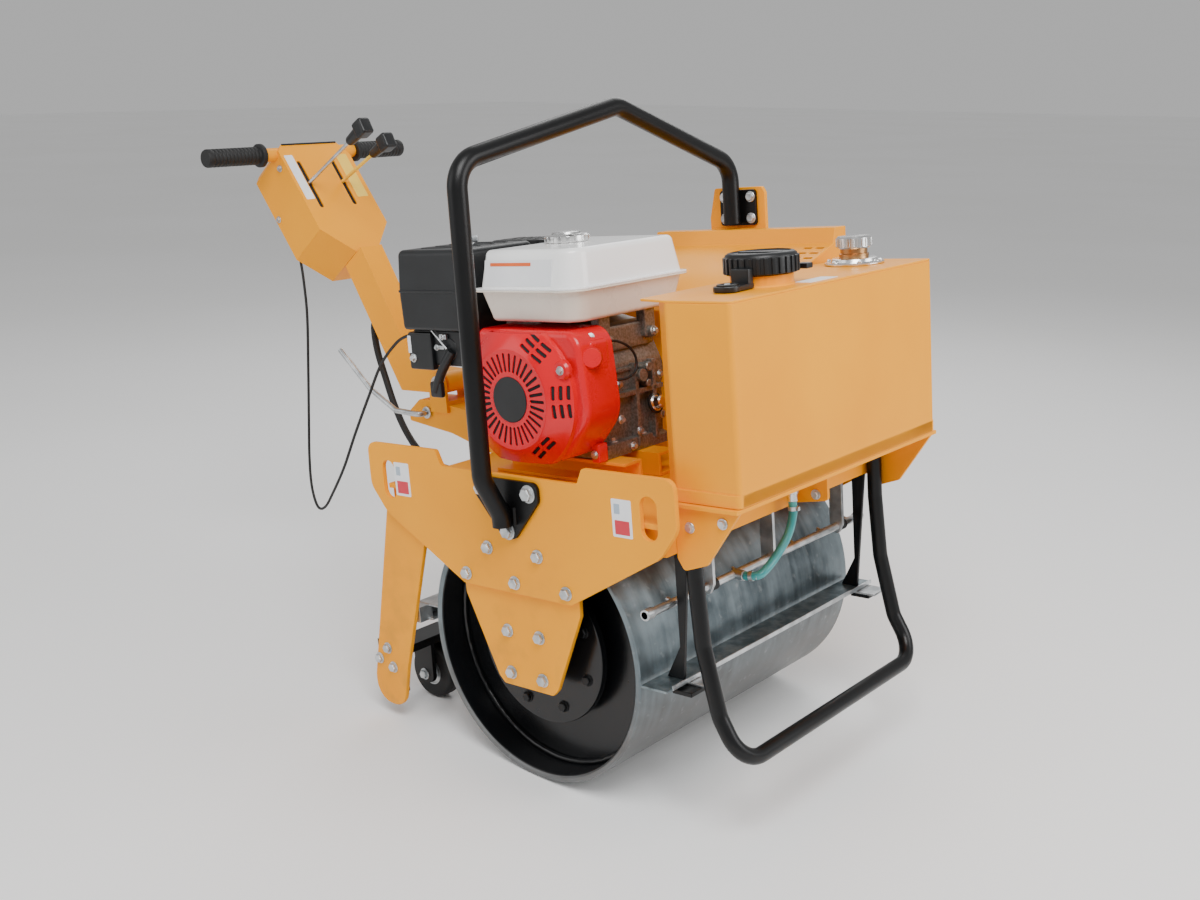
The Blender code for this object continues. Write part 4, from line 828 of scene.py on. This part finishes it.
def make_shroud():
    x, z, slot_depths = SHAFT_X, SHAFT_Z, (-0.2600, -0.2100)

    def trim(shape, reach, closed):
        """Cuts the top and bottom off flat, and the rear 10 mm closer in."""
        for normal, far in (((0, 0, 1), reach), ((0, 0, -1), reach), ((-1, 0, 0), reach - 0.010)):
            cut = bmesh.ops.bisect_plane(shape, geom=shape.verts[:] + shape.edges[:] + shape.faces[:],
                                         plane_co=Vector((x, 0.0, z)) + Vector(normal) * far, plane_no=normal,
                                         clear_outer=True)["geom_cut"]
            if closed:
                rim = [e for e in cut if isinstance(e, bmesh.types.BMEdge)]
                bmesh.ops.holes_fill(shape, edges=rim, sides=0)

    outline = rounded([(x - 0.088, z - 0.050, 0.040), (x - 0.030, z - 0.094, 0.050),
                       (x + 0.075, z - 0.096, 0.050), (x + 0.132, z - 0.030, 0.060),
                       (x + 0.120, z + 0.100, 0.030), (x - 0.088, z + 0.100, 0.010)], 12)
    body = plate(outline, -0.222, -0.1503, soft=0.014, steps=5, ends=(0,))
    tab = block((x + 0.084, -0.172, FEET + 0.0005), (x + 0.100, -0.1503, FEET + 0.030), 0.003)
    piece("shroud_body", merge(body, tab), "red", "chassis", ("fan_shroud",), angle=50)

    face = 0.2485
    outer = [(0.0, face), (0.0380, face), (0.0390, face + 0.0006), (0.0720, face + 0.0006),
             (0.0735, face + 0.0016), (0.0765, face + 0.0016), (0.0785, face), (0.0860, face - 0.0025),
             (0.1040, 0.2330), (0.1110, 0.2290), (0.1130, 0.2190)]
    inner = [(0.1110, 0.2190), (0.1093, 0.2280), (0.1030, 0.2318), (0.0845, 0.2442), (0.0770, face - 0.0012),
             (0.0, face - 0.0012)]
    cover = turned(outer + inner, (x, 0.0, z), NEAR, 144)
    trim(cover, 0.0975, closed=True)
    slots = []

    def slot(low, high, corner, degrees=0.0):
        """A slot through the cover, drawn ahead of the shaft and swung round it."""
        slots.append(swung(plate(oblong(low, high, corner, 3), *slot_depths), (x, 0.0, z), -degrees, "Y"))

    for k in range(34):
        slot((0.0415, -0.0024), (0.0700, 0.0024), 0.00216, 360 / 34 * k)
    for column in (0.0850, 0.0945, 0.1040):
        for low, high in ((0.003, 0.024), (-0.024, -0.003)):
            slot((column - 0.0027, low), (column + 0.0027, high), 0.0022)
    for middle, radii in ((56.0, (0.0845, 0.0935, 0.1025)), (-52.0, (0.0845, 0.0935))):
        for radius in radii:
            for shift in (-0.0125, 0.0125):
                slot((radius - 0.0026, shift - 0.0105), (radius + 0.0026, shift + 0.0105), 0.0022, middle)
    cover = carve(cover, merge(*slots))
    piece("starter_cover", cover, "red", angle=40)
    # painted shade: a dark sheet close behind the cover, standing for the shade seen through its slots
    shade_sheet_profile = [(0.0, face - 0.0015), (0.0768, face - 0.0015), (0.0842, 0.2439), (0.1027, 0.2315),
              (0.1085, 0.2280), (0.1085, 0.2200), (0.0, 0.2200)]
    shade_sheet = turned(shade_sheet_profile, (x, 0.0, z), NEAR, 96)
    trim(shade_sheet, 0.0960, closed=False)
    piece("starter_slot_shade", shade_sheet, "shadow")
    emblem = turned([(0.0, 0.0016), (0.0335, 0.0016), (0.0345, 0.0008), (0.0345, -0.0010), (0.0, -0.0010)],
                    (x, -face, z), NEAR, 72)
    piece("starter_emblem", emblem, "plastic")
    heads = [bolt((x + 0.096, -0.2365, z + 0.046), NEAR, 0.0052, 0.0052, 0.0070),
             bolt((x + 0.026, -0.2330, z - 0.0900), NEAR, 0.0045, 0.0050, 0.0060),
             bolt((x + 0.092, -0.1725, FEET + 0.014), NEAR, 0.0045, 0.0050, 0.0068),
             bolt((x + 0.112, -0.1850, z + 0.088), (0.6, -0.5, 0.6), 0.0045, 0.0050, 0.0062)]
    piece("shroud_bolts", merge(*heads), "zinc")
    boss = turned([(0.0, 0.0), (0.0150, 0.0), (0.0150, 0.006), (0.0120, 0.010), (0.0, 0.010)],
                  (x + 0.096, -0.2275, z + 0.046), NEAR, 36)
    piece("starter_boss", boss, "red")


def make_engine():
    x, z = SHAFT_X, SHAFT_Z
    piece("crankcase", softened("engine_block", 0.0022), "alloy", "chassis", ("engine_block",))
    front = 0.064
    extras = [block((0.020, -0.1495, z + 0.052), (0.055, -0.004, z + 0.092), 0.006),
              block((0.048, -0.146, z - 0.018), (0.0665, -0.004, z - 0.010), 0.0015),
              block((0.050, -0.072, z - 0.100), (0.0670, -0.064, z + 0.030), 0.0015),
              block((0.050, -0.030, z - 0.095), (0.0665, -0.022, z + 0.030), 0.0015),
              block((0.030, -0.143, FEET + 0.0005), (0.0650, -0.034, FEET + 0.022), 0.004),
              block((0.050, -0.140, z + 0.020), (0.0600, -0.010, z + 0.026), 0.0015)]
    for k in range(9):
        level = z + 0.030 + 0.0075 * k
        extras.append(block((-0.164, -0.151, level), (-0.098, 0.006, level + 0.0025), 0.0008))
    for y in (-0.150, -0.118, -0.086, -0.054, -0.022, 0.006):
        extras.append(block((-0.104, y - 0.0025, FEET + 0.002), (0.048, y + 0.0005, FEET + 0.012), 0.0008))
    for y in (-0.130, -0.024):
        extras.append(block((0.046, y - 0.013, z + 0.066), (0.0640, y + 0.013, z + 0.111), 0.0030))
        extras.append(rod((0.050, y, z + 0.070), (0.072, y, z + 0.074), 0.0085, 0.0015))
    extras.append(rod((0.055, -0.045, z + 0.020), (0.075, -0.045, z + 0.022), 0.0075, 0.0015))
    extras.append(rod((0.055, -0.045, z - 0.004), (0.072, -0.045, z - 0.004), 0.0060, 0.0012))
    piece("crankcase_ribs", merge(*extras), "alloy")
    filler = (front, -0.026, z - 0.040)
    plug = turned([(0.0, 0.0), (0.0125, 0.0), (0.0130, 0.0040), (0.0105, 0.0060), (0.0095, 0.0150),
                   (0.0070, 0.0170), (0.0, 0.0170)], filler, (1, 0, 0.25), 32)
    piece("oil_plug", plug, "chrome")
    seal = turned([(0.0125, -0.001), (0.0165, 0.0), (0.0165, 0.0032), (0.0125, 0.0040)], filler,
                  (1, 0, 0.25), 32, ring=True)
    piece("oil_plug_seal", seal, "rubber")
    heads = [bolt((front + 0.0015, y, level), AHEAD, 0.0048, 0.0058, 0.0068)
             for y, level in ((-0.110, z - 0.050), (-0.068, z - 0.075), (-0.086, FEET + 0.010),
                              (-0.010, z - 0.060), (-0.110, z + 0.004), (-0.012, z + 0.004))]
    heads += [bolt((0.072, y, z + 0.074), AHEAD, 0.0045, 0.0050, 0.0062) for y in (-0.130, -0.024)]
    heads += [bolt((0.052, y, FEET + 0.022), TOP, 0.0060, 0.0065, 0.0090) for y in (-0.118, -0.050)]
    piece("crankcase_bolts", merge(*heads), "zinc")

    switch = [turned([(0.0, 0.0), (0.0150, 0.0), (0.0160, 0.0020), (0.0160, 0.0150), (0.0135, 0.0190),
                      (0.0, 0.0200)],
                     (x + 0.117, -0.194, z + 0.059), (0.75, -0.62, 0.10), 36),
              block((x + 0.090, -0.200, z + 0.036), (x + 0.126, -0.160, z + 0.084), 0.007, 3)]
    piece("switch_knob", merge(*switch), "red", angle=50)
    socket = rod((x + 0.100, -0.172, z + 0.066), (x + 0.118, -0.158, z + 0.078), 0.0075)
    piece("switch_socket", socket, "chrome")
    wire = flowing([(0.078, -0.160, z + 0.022), (0.080, -0.140, z + 0.016), (0.080, -0.105, z + 0.014),
                    (0.0745, -0.078, z + 0.022), (0.0735, -0.076, z + 0.042), (0.074, -0.092, z + 0.060),
                    (0.076, -0.120, z + 0.072), (0.078, -0.148, z + 0.076)], 50)
    piece("switch_wire", tube(wire, 0.0020), "rubber", weighted=False)


def make_top_end():
    low, seam, high = 0.487, 0.536, 0.594
    x0, x1, y0, y1 = -0.104, 0.090, -0.220, 0.036
    edge = rounded([(x0, y0, 0.010), (x1, y0, 0.036), (x1, y1, 0.014), (x0, y1, 0.014)], 8)
    lip = rounded([(x0 - 0.006, y0 - 0.006, 0.009), (x1 + 0.006, y0 - 0.006, 0.038),
                   (x1 + 0.006, y1 + 0.006, 0.013), (x0 - 0.006, y1 + 0.006, 0.013)], 8)
    upper = pan(edge, seam, high, 0.930, 0.016)
    piece("fuel_tank_upper", merge(upper, plate(lip, seam, seam + 0.0030, "XY", 0.0008)), "white", "chassis",
          ("fuel_tank",), angle=50)
    lower = pan(edge, seam, low, 0.915, 0.020)
    # painted shade: the lower half takes the darker copy of the white enamel
    piece("fuel_tank_lower", merge(lower, plate(lip, seam - 0.0030, seam - 0.0001, "XY", 0.0008)), "white_in_shade",
          angle=50)
    lean = (1 - 0.930) * (y1 - y0) / 2 / (high - seam)
    for name, a, b, c, d, lift, finish in (("label_card", -0.092, 0.046, 0.0440, 0.006, 0.0005, "label"),
                                           ("label_bar", -0.080, 0.004, 0.0400, 0.0350, 0.0009,
                                            "label_orange")):
        card = block((a, -lift, d), (b, 0.0006, c))
        piece("fuel_" + name, swung(card, (0.0, y0, seam), -math.degrees(math.atan(lean)), "X"), finish)
    cx, cy = -0.045, -0.080
    profile = [(0.0, high), (0.0330, high), (0.0340, high + 0.0015), (0.0340, high + 0.0095),
               (0.0320, high + 0.0115), (0.0240, high + 0.0125), (0.0225, high + 0.0150),
               (0.0190, high + 0.0160), (0.0, high + 0.0160)]
    cap = [turned(profile, (cx, cy, 0.0004), TOP, 48)]
    for k in range(16):
        tab = block((0.0325, -0.0034, high + 0.0012), (0.0356, 0.0034, high + 0.0100), 0.0012)
        cap.append(swung(tab, (cx, cy, 0.0), 22.5 * k))
    piece("fuel_cap_look", merge(*cap), "chrome", "chassis", ("fuel_cap",))

    edge = oblong((-0.2935, -0.2215), (-0.1290, -0.0630), 0.010, 6)
    lip = oblong((-0.2950, -0.2230), (-0.1275, -0.0615), 0.011, 6)
    cover = pan(edge, 0.532, 0.597, 0.965, 0.016)
    base = pan(edge, 0.532, 0.4705, 0.985, 0.006)
    ridge = plate(lip, 0.5305, 0.5345, "XY", 0.0012)
    rail = [block((-0.262, -0.190 + 0.030 * k, 0.5950), (-0.160, -0.184 + 0.030 * k, 0.5985),
                  0.0014) for k in range(4)]
    piece("cleaner_case", merge(cover, base, ridge, *rail), "plastic", "chassis", ("air_cleaner",), angle=50)
    nut = [rod((-0.211, -0.128, 0.596), (-0.211, -0.128, 0.608), 0.0075),
           block((-0.228, -0.1305, 0.601), (-0.194, -0.1255, 0.612), 0.0022)]
    piece("cleaner_wing_nut", merge(*nut), "zinc")

    box = [block((-0.286, -0.205, 0.412), (-0.170, -0.080, 0.4697), 0.005),
           block((-0.292, -0.212, 0.405), (-0.235, -0.198, 0.466), 0.004),
           rod((-0.200, -0.206, 0.440), (-0.200, -0.080, 0.440), 0.020, 0.003)]
    piece("carburettor_body", merge(*box), "plastic", "chassis", ("carburettor",))
    lever = tube(flowing([(-0.193, -0.2065, 0.437), (-0.205, -0.2100, 0.420), (-0.220, -0.2120, 0.398),
                          (-0.233, -0.2120, 0.372)], 16), 0.0080, 4)
    piece("choke_lever", merge(lever, block((-0.244, -0.217, 0.362), (-0.216, -0.207, 0.388), 0.004)),
          "plastic")
    links = [block((-0.205, -0.2100, 0.480), (-0.186, -0.2060, 0.492), 0.0012),
             block((-0.216, -0.2110, 0.456), (-0.200, -0.2060, 0.464), 0.0012),
             block((-0.228, -0.2115, 0.440), (-0.206, -0.2060, 0.446), 0.0012),
             rod((-0.232, -0.211, 0.470), (-0.200, -0.211, 0.441), 0.0016, 0.0003, 10),
             bolt((-0.280, -0.2120, 0.424), NEAR, 0.0052, 0.0055, 0.0072),
             bolt((-0.208, -0.2110, 0.460), NEAR, 0.0034, 0.0040, 0.0050),
             bolt((-0.222, -0.2115, 0.443), NEAR, 0.0034, 0.0040, 0.0050),
             rod((-0.2875, -0.198, 0.458), (-0.270, -0.200, 0.458), 0.0048, 0.0006, 16)]
    piece("governor_links", merge(*links), "zinc")
    card = plate(oblong((-0.291, 0.432), (-0.2835, 0.460), 0.001, 3), -0.2124, -0.2119)
    piece("carburettor_label", card, "label")

    guard = pan(oblong((-0.262, -0.050), (-0.130, 0.036), 0.016, 6), 0.478, 0.596, 0.965, 0.010)
    holes = [block((-0.240 + 0.018 * k, -0.034 + 0.026 * j, 0.588),
                   (-0.231 + 0.018 * k, -0.018 + 0.026 * j, 0.602), 0.002)
             for k in range(6) for j in range(3)]
    holes += [block((-0.240 + 0.018 * k, 0.026, 0.510 + 0.024 * j),
                    (-0.231 + 0.018 * k, 0.046, 0.524 + 0.024 * j), 0.002)
              for k in range(6) for j in range(3)]
    piece("exhaust_guard", carve(guard, merge(*holes)), "black", "chassis", ("muffler",), angle=40)
    stub = [block((-0.198, -0.030, 0.424), (-0.1660, 0.000, 0.482), 0.003),
            block((-0.190, -0.040, 0.432), (-0.1640, 0.005, 0.446), 0.003)]
    piece("exhaust_stub", merge(*stub), "alloy")


# ---------------------------------------------------------------- belt guard
def make_belt_guard():
    guard = softened("belt_guard", 0.0014)
    rise, run = 0.041, 0.120
    slope = math.degrees(math.atan2(rise, run))
    cutters = []
    for column in (0.1885, 0.2110):
        for row in range(4):
            middle = Vector((column, 0.180 + 0.018 * row, 0.0))
            middle.z = 0.515 + (middle.y - 0.130) * rise / run
            cutter = block((-0.0080, -0.0030, -0.012), (0.0080, 0.0030, 0.012), 0.0012)
            cutters.append(swung(cutter, middle, slope, "X"))
    piece("belt_hood", carve(guard, merge(*cutters)), "yellow", "chassis", ("belt_guard",))
    heads = [bolt((0.226 - 0.0002, y, z), AHEAD, 0.0050, 0.0050, 0.0072)
             for y, z in ((0.080, 0.290), (0.270, 0.290))]
    heads += [bolt((x, 0.2895, 0.400), FAR, 0.0060, 0.0060, 0.0085) for x in (-0.110, 0.150)]
    piece("belt_hood_bolts", merge(*heads), "zinc")


# ---------------------------------------------------------------- handle
PANEL_TOP = Vector((-0.770, 0.0, 0.785))
PANEL_DOWN = Vector((0.560, 0.0, -0.8285)).normalized()
PANEL_IN = Vector((PANEL_DOWN.z, 0.0, -PANEL_DOWN.x))
BAR = (-0.778, 0.768)


def on_panel(shape):
    """From panel coordinates (down it, across it, up off it) to the machine's frame."""
    turn = Matrix((PANEL_DOWN, LEFT, -PANEL_IN)).transposed().to_4x4()
    bmesh.ops.transform(shape, matrix=Matrix.Translation(PANEL_TOP) @ turn, verts=shape.verts)
    return shape


def make_handle():
    piece("column_tube", softened("handle_column", 0.0032, 3), "yellow", "handle", ("handle_column",))
    piece("console_case", softened("console", 0.0009), "yellow", "handle", ("console",))
    edging = tube([PANEL_TOP + PANEL_DOWN * 0.0005 + Vector((0.0, y, 0.0008)) for y in (-0.066, 0.060)],
                  0.0018, 2)
    piece("console_edging", edging, "rubber", "handle")
    for name, low, high, finish in (("left", (0.024, -0.0735), (0.124, -0.0545), "label"),
                                    ("right", (0.028, 0.0440), (0.128, 0.0700), "label_yellow")):
        card = on_panel(plate(oblong(low, high, 0.002, 3), 0.0, 0.0005, "XY"))
        piece("console_label_" + name, card, finish, "handle")
    # painted shade: dark strips sunk under the lever slots, standing for the shade inside the console
    lever_slot_shade = []
    for y in (-0.048, 0.030):
        lever_slot_shade.append(on_panel(plate(oblong((0.030, y - 0.010), (0.152, y + 0.010), 0.006, 4), -0.0050,
                                   -0.0034, "XY")))
    piece("console_slot_shade", merge(*lever_slot_shade), "shadow", "handle")
    heads = [bolt((bx, side * 0.080, bz), (0, side, 0), 0.0048, 0.0048, 0.0066)
             for side in (-1, 1) for bx, bz in ((-0.763, 0.742), (-0.786, 0.648))]
    heads += [bolt((-0.432, side * 0.0365, 0.342), (0, side, 0), 0.0110, 0.0080, 0.0150) for side in (-1, 1)]
    piece("console_bolts", merge(*heads[:4]), "zinc", "handle")
    piece("pivot_nuts", merge(*heads[4:]), "zinc")

    for word, side in (("right", -1), ("left", 1)):
        profile = [(0.0127, 0.1063), (0.0205, 0.1063), (0.0215, 0.1075), (0.0215, 0.1140), (0.0205, 0.1155),
                   (0.0160, 0.1165)]
        for k in range(13):
            step = 0.1200 + 0.0078 * k
            profile += [(0.0152, step), (0.0152, step + 0.0012), (0.0165, step + 0.0024),
                        (0.0165, step + 0.0066)]
        profile += [(0.0165, 0.2245), (0.0150, 0.2275), (0.0, 0.2280)]
        sleeve = turned([(0.0, 0.1063)] + profile, (BAR[0], 0.0, BAR[1]), (0, side, 0), 40)
        piece("grip_sleeve_" + word, sleeve, "rubber", "handle", ("grip_" + word,), angle=50)

    levers = (("travel", -0.048, (-0.533, -0.050, 0.806), "zinc"),
              ("throttle", 0.030, (-0.566, 0.028, 0.780), "label_yellow"))
    for word, y, tip, finish in levers:
        foot = PANEL_TOP + PANEL_DOWN * 0.082 + PANEL_IN * 0.045 + Vector((0.0, y, 0.0))
        tip = Vector(tip)
        way = (tip - foot).normalized()
        piece("lever_rod_" + word, rod(foot, tip - way * 0.050, 0.0034, 0.0004, 16), finish, "handle",
              ("lever_" + word,))
        stem = aim(turned([(0.0, 0.0), (0.0070, 0.0), (0.0090, 0.004), (0.0112, 0.034), (0.0112, 0.044),
                           (0.0, 0.044)],
                          (0, 0, 0), TOP, 28), tip - way * 0.062, way)
        head = aim(block((-0.0130, -0.0150, 0.034), (0.0130, 0.0150, 0.0615), 0.0050, 3), tip - way * 0.062,
                   way)
        piece("lever_knob_" + word, merge(stem, head), "plastic", "handle", angle=50)


def make_lock_rod():
    route = [(-0.471, -0.0309, 0.287), (-0.472, -0.050, 0.286), (-0.520, -0.066, 0.294),
             (-0.582, -0.070, 0.332), (-0.655, -0.072, 0.402)]
    piece("latch_rod", tube(bent(route, 0.014, 8), 0.0052, 5), "zinc", "chassis", ("lock_rod",),
          weighted=False)
    collar = turned([(0.0053, 0.0), (0.0110, 0.0), (0.0110, 0.0050), (0.0095, 0.0060), (0.0053, 0.0060)],
                    (-0.4712, -0.0302, 0.287), NEAR, 32, ring=True)
    piece("latch_collar", collar, "zinc")


make_stage()
make_cords()
make_drum()
make_wheels()
make_frame()
make_hoop()
make_water_tank()
make_sprinkler()
make_shroud()
make_engine()
make_top_end()
make_belt_guard()
make_handle()
make_lock_rod()
